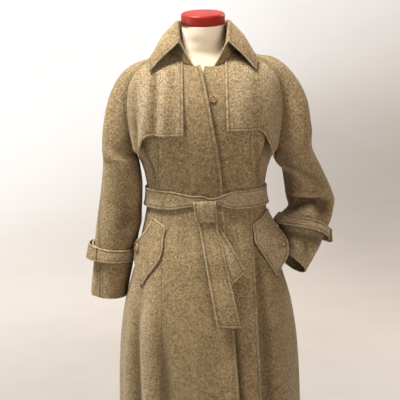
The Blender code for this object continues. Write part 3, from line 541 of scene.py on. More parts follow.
# A finished piece rides with the frame and takes the place of its plain solid
def finishPiece(name, mesh, slot, finish=None, node=None, sharp=None):
    bmesh.ops.recalc_face_normals(mesh, faces=mesh.faces)
    data = keepMesh(name, mesh)
    data.shade_smooth()
    if sharp:
        data.set_sharp_from_angle(angle=sharp)
    data.materials.append(finishes[finish or slot])
    piece = addObject(name, data)
    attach(piece, "root")
    if node:
        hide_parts(node)
    return piece


def gridNormals(mid, ring):
    if ring:
        across = np.roll(mid[:, :-1], -1, axis=1) - np.roll(mid[:, :-1], 1, axis=1)
        across = np.concatenate([across, across[:, :1]], axis=1)
    else:
        across = np.gradient(mid, axis=1)
    return unit(np.cross(unit(across), unit(np.gradient(mid, axis=0))))


# How far each point of the cloth lies from each of its four edges
def edgeGaps(mid):
    def lengths(axis):
        steps = np.linalg.norm(np.diff(mid, axis=axis), axis=2)
        start = np.zeros((mid.shape[0], 1)) if axis == 1 else np.zeros((1, mid.shape[1]))
        return np.concatenate([start, np.cumsum(steps, axis=axis)], axis=axis)

    def slant(first, second):
        return np.linalg.norm(np.cross(unit(first), unit(second)), axis=-1)

    along, climb = lengths(1), lengths(0)
    up, across = np.gradient(mid, axis=0), np.gradient(mid, axis=1)
    return along, climb, {
        "first": along * slant(across[:, :1], up[:, :1]),
        "last": (along[:, -1:] - along) * slant(across[:, -1:], up[:, -1:]),
        "bottom": climb * slant(across[:1], up[:1]),
        "top": (climb[-1:] - climb) * slant(across[-1:], up[-1:]),
    }


stitch = {"length": 0.0031, "pitch": 0.004, "radius": 0.00042, "groove": 0.0012, "pull": 0.42,
          "lift": 0.00012, "fade": 0.002, "shade": 0.8, "shadeWidth": 0.0014}


# Points along a row of stitches at a distance from one edge, with the surface's normals there
def sewingLine(side, inset, gaps, outer, normal, others):
    gap = gaps[side]
    free = np.minimum.reduce([gaps[other] for other in others]) if others else np.full(gap.shape, 1.0)
    if side in ("bottom", "top"):
        gap, free = gap.T, free.T
        outer, normal = outer.transpose(1, 0, 2), normal.transpose(1, 0, 2)
    if side in ("last", "top"):
        gap, free, outer, normal = gap[:, ::-1], free[:, ::-1], outer[:, ::-1], normal[:, ::-1]
    reached = gap.max(axis=1) > inset
    lines = np.nonzero(reached)[0]
    after = np.clip(np.argmax(gap >= inset, axis=1), 1, None)[lines]
    share = (inset - gap[lines, after - 1]) / np.maximum(gap[lines, after] - gap[lines, after - 1], 1e-9)

    def read(values):
        part = share if values.ndim == 2 else share[:, None]
        return values[lines, after - 1] * (1 - part) + values[lines, after] * part

    return read(outer), read(normal), read(free)


def sewRows(name, rows, gaps, outer, normal):
    mesh = bmesh.new()
    stitched = [side for side, _ in rows]
    for side, inset in rows:
        others = [other for other in stitched if other != side]
        path, facing, free = sewingLine(side, inset, gaps, outer, normal, others)
        run = np.concatenate([[0], np.cumsum(np.linalg.norm(np.diff(path, axis=0), axis=1))])
        for at in np.arange(stitch["pitch"], run[-1] - stitch["pitch"] / 2, stitch["pitch"]):
            if np.interp(at, run, free) < inset:
                continue
            ends = [[np.interp(at + step, run, path[:, axis]) for axis in range(3)]
                    for step in (-stitch["length"] / 2, stitch["length"] / 2)]
            up = Vector([np.interp(at, run, facing[:, axis]) for axis in range(3)]).normalized()
            along = (Vector(ends[1]) - Vector(ends[0])).normalized()
            sideways = up.cross(along).normalized()
            centre = (Vector(ends[0]) + Vector(ends[1])) / 2 + up * stitch["lift"]
            turn = Matrix((sideways, along.cross(sideways), along)).transposed().to_4x4()
            size = Matrix.Diagonal((stitch["radius"], stitch["radius"], stitch["length"] / 2, 1.0))
            bmesh.ops.create_uvsphere(mesh, u_segments=6, v_segments=4, radius=1.0,
                                      matrix=Matrix.Translation(centre) @ turn @ size)
    if not mesh.verts:
        mesh.free()
        return None
    return finishPiece(name, mesh, "tweed", "thread")


cloth = {"fuller": 0.3, "fullAt": 0.0032, "fullWidth": 0.0022, "turnedUp": 0.6, "highlightWidth": 0.0026,
         "seamWidth": 0.0024, "stepIn": 0.002, "stepOut": 0.003, "merge": 2e-6}


# Cloth is a thin shell about a grid of points in the middle of its thickness. Its edges are rounded,
# so two sewn edges leave a fine groove between them, and rows of stitches draw it in.
def layCloth(node, mid, facing, settings, held, restsOn, ring=False, turn=0.0, **look):
    look = {**settings, **look}
    rows, columns = mid.shape[:2]
    normal = gridNormals(mid, ring)
    if np.sum(normal * facing) < 0:
        normal = -normal
    along, climb, gaps = edgeGaps(mid)
    edges = ("bottom", "top") if ring else ("first", "last", "bottom", "top")
    gap = np.minimum.reduce([gaps[side] for side in edges])
    half = look["thick"] / 2 * np.sqrt(1 - (1 - np.clip(gap / look["edge"], 0, 1)) ** 2)
    sewn = look.get("rows", [])
    for side, inset in sewn:
        drawn = stitch["pull"] * hump(gaps[side] - inset, stitch["groove"])
        for other, otherInset in sewn:
            if other != side:
                drawn = drawn * ease(gaps[other], otherInset - stitch["fade"], otherInset)
        half = half * (1 - drawn)
    for side in look.get("lit", []):  # turned edges are a little fuller
        half = half * (1 + cloth["fuller"] * hump(gaps[side] - cloth["fullAt"], cloth["fullWidth"]))
    for side, width in look.get("turnUps", []):
        single = ease(gaps[side], width - cloth["stepIn"], width + cloth["stepOut"])
        half = half * (1 + cloth["turnedUp"] * (1 - single))
    outer, inner = mid + normal * half[..., None], mid - normal * half[..., None]

    middle = columns // 2
    lay = np.stack([along - along[:, middle:middle + 1],
                    np.repeat(climb[:, middle:middle + 1], columns, axis=1)], -1)
    widths = along[:, -1]
    area = float(np.sum((widths[1:] + widths[:-1]) / 2 * np.diff(climb[:, middle])))
    cosine, sine = math.cos(turn), math.sin(turn)
    lay = np.stack([lay[..., 0] * cosine - lay[..., 1] * sine, lay[..., 0] * sine + lay[..., 1] * cosine], -1)

    # Painted highlight along lit edges and over wholly lighter pieces, and painted shade along seams, stitch
    # rows and in hollows
    rub, groove = np.zeros(gap.shape), np.zeros(gap.shape)
    for side in look.get("lit", []):
        rub = np.maximum(rub, hump(gaps[side], cloth["highlightWidth"]))
    for side, depth in look.get("seams", []):
        groove = np.maximum(groove, depth * hump(gaps[side], cloth["seamWidth"]))
    for side, inset in sewn:
        groove = np.maximum(groove, stitch["shade"] * hump(gaps[side] - inset, stitch["shadeWidth"]))
    rub = np.maximum(rub, look.get("worn", 0.0))
    groove = np.maximum(groove, look.get("hollow", 0.0))

    mesh = bmesh.new()
    place = mesh.verts.layers.int.new("place")
    paintedHighlight, paintedShade = mesh.verts.layers.float.new("rub"), mesh.verts.layers.float.new("groove")
    weave = mesh.loops.layers.uv.new("weave")
    bmesh.ops.create_grid(mesh, x_segments=columns - 1, y_segments=rows - 1, size=1)
    flat, front, rear = lay.reshape(-1, 2), outer.reshape(-1, 3), inner.reshape(-1, 3)
    for index, (vert, point, lit, dark) in enumerate(zip(mesh.verts, front, rub.flat, groove.flat)):
        vert.co = point
        vert[place], vert[paintedHighlight], vert[paintedShade] = index, lit, dark
    for face in mesh.faces:
        for loop in face.loops:
            loop[weave].uv = flat[loop.vert[place]]
    behind = bmesh.ops.extrude_face_region(mesh, geom=mesh.faces[:], use_keep_orig=True)
    for vert in behind["geom"]:
        if isinstance(vert, bmesh.types.BMVert):
            vert.co = rear[vert[place]]
    bmesh.ops.remove_doubles(mesh, verts=mesh.verts, dist=cloth["merge"])
    bmesh.ops.dissolve_degenerate(mesh, edges=mesh.edges, dist=1e-6)
    piece = finishPiece(node + "_cloth", mesh, "tweed", node=node)
    sewing = sewRows(node + "_stitching", sewn, gaps, outer, normal) if sewn else None
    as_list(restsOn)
    return piece


# Sleeves, straps and flaps are laid out at +X, and the right ones are mirrored
def onSide(side, *grids):
    return [grid * (sides[side], 1, 1) for grid in grids]


# A body panel between two seams with a shaped top edge, and angles counted towards its own side.
# Each column keeps its share of the width low down and drifts to its own place on the top edge.
def panelGrid(firstSeam, lastSeam, topAt, shares, rise, sign=1):
    hem, rowsTop = body["hemZ"], body["rowsTop"]
    low = hem + (rowsTop - hem) * edgeSteps(rowsTop - hem, body["step"], end=False)
    high = edgeSteps(body["upperLength"], body["step"], start=False)[1:]
    topAngle, topZ = topAt(shares)
    lowRows = np.repeat(low[:, None], len(shares), axis=1)
    z = np.concatenate([lowRows, rowsTop + (topZ - rowsTop) * high[:, None]])
    first, last = firstSeam(z[:, :1]), lastSeam(z[:, -1:])
    topShare = (topAngle - topAngle[0]) / (topAngle[-1] - topAngle[0])
    climb = (z - hem) / (topZ - hem)
    angle = sign * (first + (last - first) * (shares + (topShare - shares) * climb ** 3))
    normal = coatNormal(angle, z)
    point = coatLine(angle, z)
    out = rise(point[..., 0], z) - body["thick"] / 2
    mid = point + normal * out[..., None]
    return mid, normal, *foldLightAndShade(coatRise(angle, z), mid[..., 2])


# Painted highlight on the crests of the folds, painted shade in their hollows, and painted shade growing down
# the lower skirt
def foldLightAndShade(fold, z):
    wearAndPaintedLight = body["wearAndPaintedLight"]
    worn = wearAndPaintedLight["crest"] * np.clip(fold / wearAndPaintedLight["crestRise"], 0, 1)
    hollow = wearAndPaintedLight["hollow"] * np.clip(-fold / wearAndPaintedLight["hollowRise"], 0, 1)
    return worn, hollow + wearAndPaintedLight["skirt"] * fall(z, *wearAndPaintedLight["skirtFall"])


def belowBelt(z):
    return fall(z, *body["belowBelt"])


def panelSeamAngle(z):
    return angleAt(lineX("panelSeam", z), z)


def sideSeam(z):
    return np.full(np.shape(z), math.pi / 2)


# Soft lines are amount, place and width; a fall is where it starts and how far down it is full
fronts = {
    "neckShares": {"right": (0.0, 0.22, 0.42, 0.58, 0.8, 1.0), "left": (0.0, 0.32, 0.5, 0.68, 0.84, 1.0)},
    "width": 0.2, "rows": {"right": [("first", 0.0084)], "left": [("last", 0.0064)]},
    "ridge": 0.024, "under": (1.0, 0.002, 0.015), "underFall": (0.86, 0.3),
    "standFall": (0.84, 0.28), "standReach": 0.055, "lip": (0.001, 0.0, 0.01),
    "facing": 0.03, "hollow": 0.45, "gap": (1.0, 0.004, 0.0085), "gapFall": (0.86, 0.12),
    "chestGap": (0.85, 0.003, 0.005), "chest": (1.09, 1.11, 1.34, 1.42),
}


def frontTop(side, shares):
    marks = fronts["neckShares"][side]
    (nearX, nearZ), (farX, farZ) = body["neckFront"]
    edge = -lineX("lapEdge", nearZ) if side == "right" else lineX("underEdge", nearZ)
    steps = range(body["frontSteps"] + 1)
    sewn = [raglanAt("front", np.array(float(k))) for k in steps]
    rows = [(marks[0], angleAt(edge, nearZ), nearZ), (marks[1], angleAt(nearX, nearZ), nearZ),
            (marks[2], angleAt(farX, farZ), farZ)]
    rows += [(mark, angle, z) for mark, (angle, z) in zip(marks[3:], sewn)]
    neck = readTable(rows, shares)
    angle, z = raglanAt("front", np.interp(shares, marks[3:], steps))
    onNeck = shares < marks[3]
    return np.where(onNeck, neck[..., 1], angle), np.where(onNeck, neck[..., 2], z)


def frontRise(side, x, z):
    past = x - lineX("lapEdge", z)
    if side == "left":  # the seam edge laps a little over the side front below the belt
        ridge = hump(x - lineX("panelSeam", z), fronts["ridge"]) * belowBelt(z)
        under = softLine(past, *fronts["under"]) * fall(z, *fronts["underFall"])
        return body["seamRidge"] * ridge - body["lapGap"] * under
    stand = fall(z, *fronts["standFall"]) * ease(past, -fronts["standReach"], 0)
    return lapRise(x, z) + body["lapStand"] * stand + softLine(past, *fronts["lip"])


def makeFronts():
    edges = {"right": lambda z: angleAt(-lineX("lapEdge", z), z),
             "left": lambda z: angleAt(lineX("underEdge", z), z)}
    shares = edgeSteps(fronts["width"], body["step"])
    hem = ("bottom", body["turnUp"])
    for side, sign in sides.items():
        mid, normal, worn, hollow = panelGrid(edges[side], panelSeamAngle, lambda s: frontTop(side, s),
                                              shares, lambda x, z: frontRise(side, x, z), sign)
        look = {"rows": fronts["rows"][side], "worn": worn}
        if side == "right":
            layCloth("front_right", mid, normal, body, "hung", ["form_torso", "front_left"], lit=["first"],
                     hollow=hollow, seams=[("last", 0.35), ("top", 0.6)],
                     turnUps=[hem, ("first", fronts["facing"])], **look)
            continue
        # Painted shadow under the right front's lapped edge, low down and on the chest, and painted shade in
        # the fold hollows
        past, z = mid[..., 0] - lineX("lapEdge", mid[..., 2]), mid[..., 2]
        gap = softLine(past, *fronts["gap"]) * fall(z, *fronts["gapFall"])
        gap = np.maximum(gap, softLine(past, *fronts["chestGap"]) * band(z, *fronts["chest"]))
        layCloth("front_left", mid, normal, body, "hung", ["form_torso"], lit=["last"],
                 hollow=np.maximum(fronts["hollow"] * hollow, gap), turnUps=[hem], **look)


sideFronts = {
    "width": 0.16, "recess": 0.026, "shade": (0.5, 0.01, 0.013), "pinch": (0.45, 0.01, 0.008),
    "pinchZ": (1.09, 1.12, 1.2, 1.25), "seam": {"right": 0.35, "left": 0.0},
}


def makeSideFronts():
    for side, sign in sides.items():
        def rise(x, z):
            if side == "right":
                return np.zeros(x.shape)
            past = np.abs(x) - lineX("panelSeam", z)
            return -body["seamRecess"] * hump(past, sideFronts["recess"]) * belowBelt(z)

        def firstSeam(z):  # below the belt the left one goes on under the front's edge
            tuck = body["seamTuck"] * belowBelt(z) if side == "left" else 0.0
            return panelSeamAngle(z) - tuck

        def top(shares):
            start = body["frontSteps"]
            return raglanAt("front", start + (raglanEnd - start) * shares)

        shares = edgeSteps(sideFronts["width"], body["step"])
        mid, normal, worn, hollow = panelGrid(firstSeam, sideSeam, top, shares, rise, sign)
        # Painted shade in the recess beside the panel seam below the belt, and along a pinched line beside it
        # above the belt
        if side == "left":
            z = mid[..., 2]
            past = np.abs(mid[..., 0]) - lineX("panelSeam", z)
            recess = softLine(past, *sideFronts["shade"]) * belowBelt(z)
            pinch = softLine(past, *sideFronts["pinch"]) * band(z, *sideFronts["pinchZ"])
            hollow = np.maximum(hollow, np.maximum(recess, pinch))
        layCloth("side_front_" + side, mid, normal, body, "hung", ["form_torso"], worn=worn, hollow=hollow,
                 turnUps=[("bottom", body["turnUp"])],
                 seams=[("first", sideFronts["seam"][side]), ("last", 0.5), ("top", 0.6)])


def backTop(shares):
    middle = raglanEnd + len(body["neckBack"]) - 1
    index = middle - np.abs(middle - 2 * middle * shares)
    sewnAngle, sewnZ = raglanAt("back", np.clip(raglanEnd - index, 0, raglanEnd))
    neck = [(raglanEnd + step, float(angleAt(x, z, True)), z) for step, (x, z) in enumerate(body["neckBack"])]
    around = [(2 * middle - step, 2 * math.pi - angle, z) for step, angle, z in reversed(neck[:-1])]
    neckRow = readTable(neck + around, index)
    onNeck = index > raglanEnd
    angle = np.where(onNeck, neckRow[..., 1], sewnAngle)
    return np.where(shares > 0.5, 2 * math.pi - angle, angle), np.where(onNeck, neckRow[..., 2], sewnZ)


def makeBack():
    shares = edgeSteps(body["backWidth"], body["step"])
    mid, normal, worn, hollow = panelGrid(sideSeam, lambda z: np.full(np.shape(z), 1.5 * math.pi), backTop,
                                          shares, lambda x, z: np.zeros(x.shape))
    layCloth("back", mid, normal, body, "hung", ["form_torso"], worn=worn, hollow=hollow,
             turnUps=[("bottom", body["turnUp"])], seams=[("first", 0.5), ("last", 0.5), ("top", 0.8)])


makeBack()
makeFronts()
makeSideFronts()
print("body panels laid")

# Sleeves, each laid out with its arm at +X. Steps count down from the neck, and places round the
# sleeve count from the over-arm seam, forwards to 1 and backwards to -1 at the body or under the arm.
sleeves = {
    "thick": 0.0022, "edge": 0.0015, "turnUp": 0.038, "rowStep": 0.004, "arc": 0.165, "step": 0.0042,
    "stepLength": 0.03, "deep": 0.007, "joinSteps": (9.2, 10.4), "joinReach": 0.06,
    "rows": [("first", 0.0066), ("last", 0.0084)], "seams": [("first", 0.9), ("last", 1.0)],
    "creaseReach": (-0.02, 0.25, 0.75, 1.02),
    "shade": {  # how dark, and the steps and places between which it grows or dies away
        "most": 0.95, "edge": 0.4, "edgeFrom": (0.76, 1.0), "edgeSteps": (9.0, 10.6),
        "strap": (0.95, 17.55, 0.55), "strapFrom": (0.1, 0.3),
        "under": 0.45, "underFrom": (0.8, 0.86), "underSteps": (10.7, 11.2, 13.8, 14.4),
        "front": 0.14, "frontFrom": (0.15, 0.4), "frontSteps": (10.5, 12.0),
    },
    # Painted highlight on the crests of the creases and on the bent arm's cuff
    "wearAndPaintedLight": {"crest": 0.8, "cuff": 0.3, "cuffSteps": (15.3, 16.0)},
    "curve": [  # angles at the seam and at the over-arm line, and the reach of the curve between them
        (6, 10, 0.33), (8, 12, 0.33), (10, 16, 0.35), (14, 24, 0.38), (20, 36, 0.42),
        (30, 50, 0.46), (42, 62, 0.5), (54, 72, 0.55), (66, 80, 0.6), (76, 86, 0.68),
    ],
    "over": {
        "right": [(0.081, 1.4335), (0.11, 1.421), (0.1405, 1.4105), (0.167, 1.4025), (0.19, 1.388),
                  (0.208, 1.366), (0.2235, 1.333), (0.235, 1.292), (0.243, 1.245), (0.2475, 1.212)],
        "left": [(0.081, 1.4335), (0.112, 1.424), (0.142, 1.4175), (0.168, 1.413), (0.192, 1.3985),
                 (0.2125, 1.376), (0.231, 1.347), (0.2445, 1.31), (0.2515, 1.262), (0.2565, 1.235)],
    },
    "hanging": [  # height, outer and inner x, middle y, depth, turn of the over-arm seam
        (1.165, 0.254, 0.157, 0.0, 0.066, 0), (1.12, 0.258, 0.159, 0.003, 0.065, 5),
        (1.075, 0.2635, 0.16, 0.006, 0.063, 10), (1.03, 0.27, 0.165, 0.01, 0.061, 18),
        (0.985, 0.2755, 0.174, 0.014, 0.058, 28), (0.94, 0.279, 0.187, 0.017, 0.055, 38),
        (0.895, 0.2835, 0.195, 0.016, 0.053, 48), (0.855, 0.288, 0.204, 0.015, 0.052, 56),
        (0.822, 0.292, 0.2105, 0.014, 0.052, 62),
    ],
    "bent": [  # over-arm point, point under the arm, depth
        ((0.265, 0.0, 1.188), (0.157, 0.0, 1.15), 0.066),
        ((0.288, 0.026, 1.139), (0.19, 0.008, 1.138), 0.062),
        ((0.3098, 0.044, 1.0906), (0.1985, 0.015, 1.1), 0.06),
        ((0.3195, 0.052, 1.056), (0.2045, 0.015, 1.067), 0.058),
        ((0.318, 0.048, 1.03), (0.212, 0.006, 1.05), 0.056),
        ((0.3105, 0.036, 1.006), (0.1985, -0.012, 1.034), 0.055),
        ((0.3005, 0.028, 0.983), (0.1865, -0.016, 1.013), 0.053),
        ((0.291, 0.019, 0.959), (0.1825, -0.016, 0.988), 0.05),
        ((0.28, 0.009, 0.934), (0.181, -0.017, 0.966), 0.048),
        ((0.2615, -0.002, 0.905), (0.1815, -0.02, 0.946), 0.047),
        ((0.239, -0.015, 0.873), (0.183, -0.025, 0.927), 0.0465),
    ],
    "creases": {  # the path as steps and places, width, rise
        "left": [
            ([(15.1, 1.05), (14.3, 0.82), (14.1, 0.66), (14.55, 0.48), (15.0, 0.25)], 0.015, -0.013),
            ([(14.9, 1.02), (14.2, 0.8), (14.0, 0.66), (14.5, 0.5)], 0.0055, -0.005),
            ([(15.8, 0.95), (15.25, 0.76), (15.1, 0.62), (15.5, 0.46)], 0.0085, 0.0075),
            ([(13.0, 1.0), (12.9, 0.7), (13.2, 0.4)], 0.012, 0.006),
            ([(12.0, 0.3), (10.6, 0.55), (9.6, 0.85)], 0.012, -0.0036),
            ([(11.6, 0.55), (10.6, 0.8), (10.0, 0.98)], 0.01, 0.003),
            ([(17.6, 0.8), (18.4, 0.66), (19.6, 0.56)], 0.0085, 0.005),
            ([(17.4, 0.62), (18.2, 0.48), (19.3, 0.4)], 0.0085, -0.005),
            ([(17.5, 0.42), (18.4, 0.3), (19.2, 0.26)], 0.008, 0.004),
            ([(17.9, 1.02), (18.5, 0.86), (19.4, 0.76)], 0.0075, -0.0048),
            ([(13.0, -0.9), (13.5, -0.55), (13.2, -0.2)], 0.011, -0.005),
            ([(14.5, -0.95), (14.8, -0.6), (14.4, -0.25)], 0.01, 0.0042),
            ([(12.0, -0.7), (11.2, -0.4), (9.8, -0.25)], 0.013, 0.0032),
            ([(17.9, -0.8), (18.7, -0.45)], 0.009, -0.0035),
        ],
        "right": [
            ([(12.2, 0.92), (13.0, 0.6), (13.3, 0.3)], 0.011, -0.003),
            ([(13.0, 0.95), (13.7, 0.66), (13.9, 0.36)], 0.011, 0.0028),
            ([(11.2, 0.92), (10.2, 0.72), (8.8, 0.62)], 0.012, -0.002),
            ([(10.8, 0.6), (9.6, 0.42), (8.2, 0.36)], 0.014, 0.0012),
            ([(14.3, 0.5), (13.1, 0.46), (11.6, 0.52)], 0.015, -0.0022),
            ([(12.6, -0.9), (13.2, -0.55), (13.0, -0.25)], 0.011, -0.0036),
            ([(13.6, -0.92), (14.1, -0.6), (13.9, -0.3)], 0.01, 0.003),
            ([(11.4, -0.8), (10.4, -0.55), (8.6, -0.5)], 0.013, 0.003),
            ([(16.3, -0.7), (17.6, -0.62)], 0.011, -0.0026),
            ([(15.6, -0.05), (16.6, -0.06), (18.4, -0.07)], 0.0045, -0.003),
            ([(15.6, -0.13), (16.6, -0.14), (18.4, -0.16)], 0.005, 0.0026),
            ([(15.6, -0.22), (16.6, -0.24), (18.4, -0.27)], 0.005, -0.0028),
        ],
    },
}


def sleeveTable(side):
    rows = []
    for k, ((overX, overZ), curve) in enumerate(zip(sleeves["over"][side], sleeves["curve"])):
        front, back = (coatLine(*raglanAt(half, np.array(float(k)))) for half in ("front", "back"))
        rows.append([k, overX, 0.0, overZ, *front, *back, *curve])
    tubes = sleeves["bent"]
    if side == "right":
        tubes = []
        for z, outer, inner, middleY, depth, turn in sleeves["hanging"]:
            middle = np.array([(outer + inner) / 2, middleY, z])
            halfWidth, turn = (outer - inner) / 2, math.radians(turn)
            arm = np.array([halfWidth * math.cos(turn), -depth * math.sin(turn), 0.0])
            across = math.hypot(halfWidth * math.sin(turn), depth * math.cos(turn))
            tubes.append((middle + arm, middle - arm, across))
    for k, (over, under, depth) in enumerate(tubes, start=len(rows)):
        if k == raglanEnd:
            under = coatLine(math.pi / 2, body["underarmZ"])
        reach = 4 / 3 * depth / np.linalg.norm(np.subtract(over, under))
        rows.append([k, *over, *under, *under, 90, 90, reach])
    return np.array(rows, float)


sleeveTables = {side: sleeveTable(side) for side in sides}


def sleeveLines(side, k):
    row = readTable(sleeveTables[side], k)
    sewn = (k < raglanEnd)[..., None]
    held = np.clip(k, 0, raglanEnd)
    front = np.where(sewn, coatLine(*raglanAt("front", held)), row[..., 4:7])
    back = np.where(sewn, coatLine(*raglanAt("back", held)), row[..., 7:10])
    riseSeam, riseOver = np.radians(row[..., 10:11]), np.radians(row[..., 11:12])
    return row[..., 1:4], front, back, riseSeam, riseOver, row[..., 12:13]


def sleeveArc(side, half, k, t):
    over, front, back, riseSeam, riseOver, reach = sleeveLines(side, k)
    ahead, behind = sleeveLines(side, k + 0.1), sleeveLines(side, k - 0.1)
    along = (ahead[0] - behind[0]) * 2 + ahead[1] + ahead[2] - behind[1] - behind[2]
    seam = front if half == "front" else back
    chord = over - seam
    c = unit(chord)
    swell = unit(np.cross(along, c)) * (1 if half == "front" else -1)
    reach = reach * np.linalg.norm(chord, axis=-1, keepdims=True)
    nearOver = over + (swell * np.sin(riseOver) - c * np.cos(riseOver)) * reach
    nearSeam = seam + (swell * np.sin(riseSeam) + c * np.cos(riseSeam)) * reach
    t = t[..., None]
    s = 1 - t
    return over * s ** 3 + nearOver * 3 * s * s * t + nearSeam * 3 * s * t * t + seam * t ** 3


def sleeveNormal(side, half, k, t):
    ahead, behind = np.minimum(t + 0.02, 1), np.maximum(t - 0.02, 0)
    across = sleeveArc(side, half, k, ahead) - sleeveArc(side, half, k, behind)
    down = sleeveArc(side, half, k + 0.05, t) - sleeveArc(side, half, k - 0.05, t)
    return unit(np.cross(across, down)) * (1 if half == "front" else -1)


def sleeveCrease(side, k, place):
    total = np.zeros(k.shape)
    scale, wholeWay = (sleeves["stepLength"], sleeves["arc"]), 2 * sleeves["arc"]
    here = np.stack([k, place], -1) * scale
    for path, width, rise in sleeves["creases"][side]:
        marks = np.array(path) * scale
        spans = np.linalg.norm(np.diff(marks, axis=0), axis=1)
        start = np.concatenate([[0], np.cumsum(spans)])
        near, where = np.full(k.shape, 1.0), np.zeros(k.shape)
        for shift in (-wholeWay, 0.0, wholeWay):  # a crease goes on past the seam under the arm
            for mark, step, span, begun in zip(marks[:-1], np.diff(marks, axis=0), spans, start):
                offset = here + (0.0, shift) - mark
                share = np.clip(np.sum(offset * step, -1) / span ** 2, 0, 1)
                away = np.linalg.norm(offset - share[..., None] * step, axis=-1)
                closer = away < near
                near = np.where(closer, away, near)
                where = np.where(closer, (begun + share * span) / start[-1], where)
        total += rise * hump(near, width) * band(where, *sleeves["creaseReach"])
    return total


# The outer face of a sleeve and its normals. Where two pieces meet, they share one normal.
def sleeveFace(side, k, place):
    k, place = np.broadcast_arrays(np.asarray(k, float), np.asarray(place, float))
    t = np.abs(place)
    ahead = (place >= 0)[..., None]
    zero, one = np.zeros(t.shape), np.ones(t.shape)
    point = np.where(ahead, sleeveArc(side, "front", k, t), sleeveArc(side, "back", k, t))
    normal = np.where(ahead, sleeveNormal(side, "front", k, t), sleeveNormal(side, "back", k, t))
    atOver = unit(sleeveNormal(side, "front", k, zero) + sleeveNormal(side, "back", k, zero))
    under = unit(sleeveNormal(side, "front", k, one) + sleeveNormal(side, "back", k, one))
    held = np.clip(k, 0, raglanEnd)
    sewn = np.where(ahead, coatNormal(*raglanAt("front", held)), coatNormal(*raglanAt("back", held)))
    atSeam = unit(sewn + (under - sewn) * ease(k, *sleeves["joinSteps"])[..., None])
    nearOver, nearSeam = ((1 - ease(away, 0, sleeves["joinReach"]))[..., None] for away in (t, 1 - t))
    normal = unit(normal * (1 - nearOver - nearSeam) + atOver * nearOver + atSeam * nearSeam)
    return point + normal * sleeveCrease(side, k, place)[..., None], normal


# Shade lies in deep creases, by the seams, and on the bent arm below its strap and on its under side
def sleeveShade(side, k, place):
    shade = sleeves["shade"]
    dark = np.clip(-sleeveCrease(side, k, place) / sleeves["deep"], 0, shade["most"])
    edge = ease(np.abs(place), *shade["edgeFrom"]) * (1 - ease(k, *shade["edgeSteps"]))
    dark = np.maximum(dark, shade["edge"] * edge)
    if side == "left":
        strap = softLine(k, *shade["strap"]) * ease(place, *shade["strapFrom"])
        under = ease(place, *shade["underFrom"]) * band(k, *shade["underSteps"])
        return np.maximum(np.maximum(dark, strap), shade["under"] * under)
    return np.maximum(dark, shade["front"] * ease(k, *shade["frontSteps"]) * ease(place, *shade["frontFrom"]))


# Painted highlight on the crests of the creases, and more over the bent arm's cuff
def sleeveHighlight(side, k, place):
    wearAndPaintedLight = sleeves["wearAndPaintedLight"]
    worn = wearAndPaintedLight["crest"] * np.clip(sleeveCrease(side, k, place) / sleeves["deep"], 0, 1)
    return worn + wearAndPaintedLight["cuff"] * ease(k, *wearAndPaintedLight["cuffSteps"]) if side == "left" else worn


def makeSleeves():
    for side in sides:
        last = sleeveTables[side][-1, 0]
        lengths = np.linalg.norm(np.diff(sleeveTables[side][:, 1:4], axis=0), axis=1)
        steps = [np.linspace(k, k + 1, max(int(length / sleeves["rowStep"]), 3) + 1)[:-1]
                 for k, length in enumerate(lengths)]
        near = last - np.array(nearEdge[::-1]) / lengths[-1]
        k = np.concatenate(steps)
        k = np.concatenate([k[k < near[0] - 0.02], near])
        t = edgeSteps(sleeves["arc"], sleeves["step"])
        for half, sign in (("front", 1), ("back", -1)):
            point, normal = sleeveFace(side, k[:, None], sign * np.maximum(t, 1e-9)[None, :])
            mid, normal = onSide(side, point - normal * sleeves["thick"] / 2, normal)
            places = np.broadcast_arrays(k[:, None], sign * t)
            layCloth("sleeve_" + side + "_" + half, mid, normal, sleeves, "hung", ["form_torso"],
                     turnUps=[("top", sleeves["turnUp"])], lit=["top"],
                     worn=sleeveHighlight(side, *places), hollow=sleeveShade(side, *places))


# Cuff straps go right round the sleeve, and each has a loop that stands off it
straps = {
    "right": {"over": (14.82, 15.6), "seam": (14.64, 15.48), "tab": -1 / 6, "bow": 0.0,
              "flare": 0.005, "worn": 0.25},
    "left": {"over": (16.25, 17.25), "seam": (15.45, 16.45), "tab": 0.0, "bow": 0.42,
             "flare": 0.012, "worn": 0.85},
    "gap": 0.0016, "slack": 0.0012, "thick": 0.0035, "rest": 0.0004, "width": 0.034, "around": 0.33,
    "step": 0.003, "edge": 0.0016, "rows": [("bottom", 0.0054), ("top", 0.0054)], "lit": ["bottom", "top"],
    "tabThick": 0.003, "tabRise": 0.006, "tabReach": 1 / 6, "tabLength": 0.055, "tabStep": 0.002,
    "tabEdge": 0.0014,
}


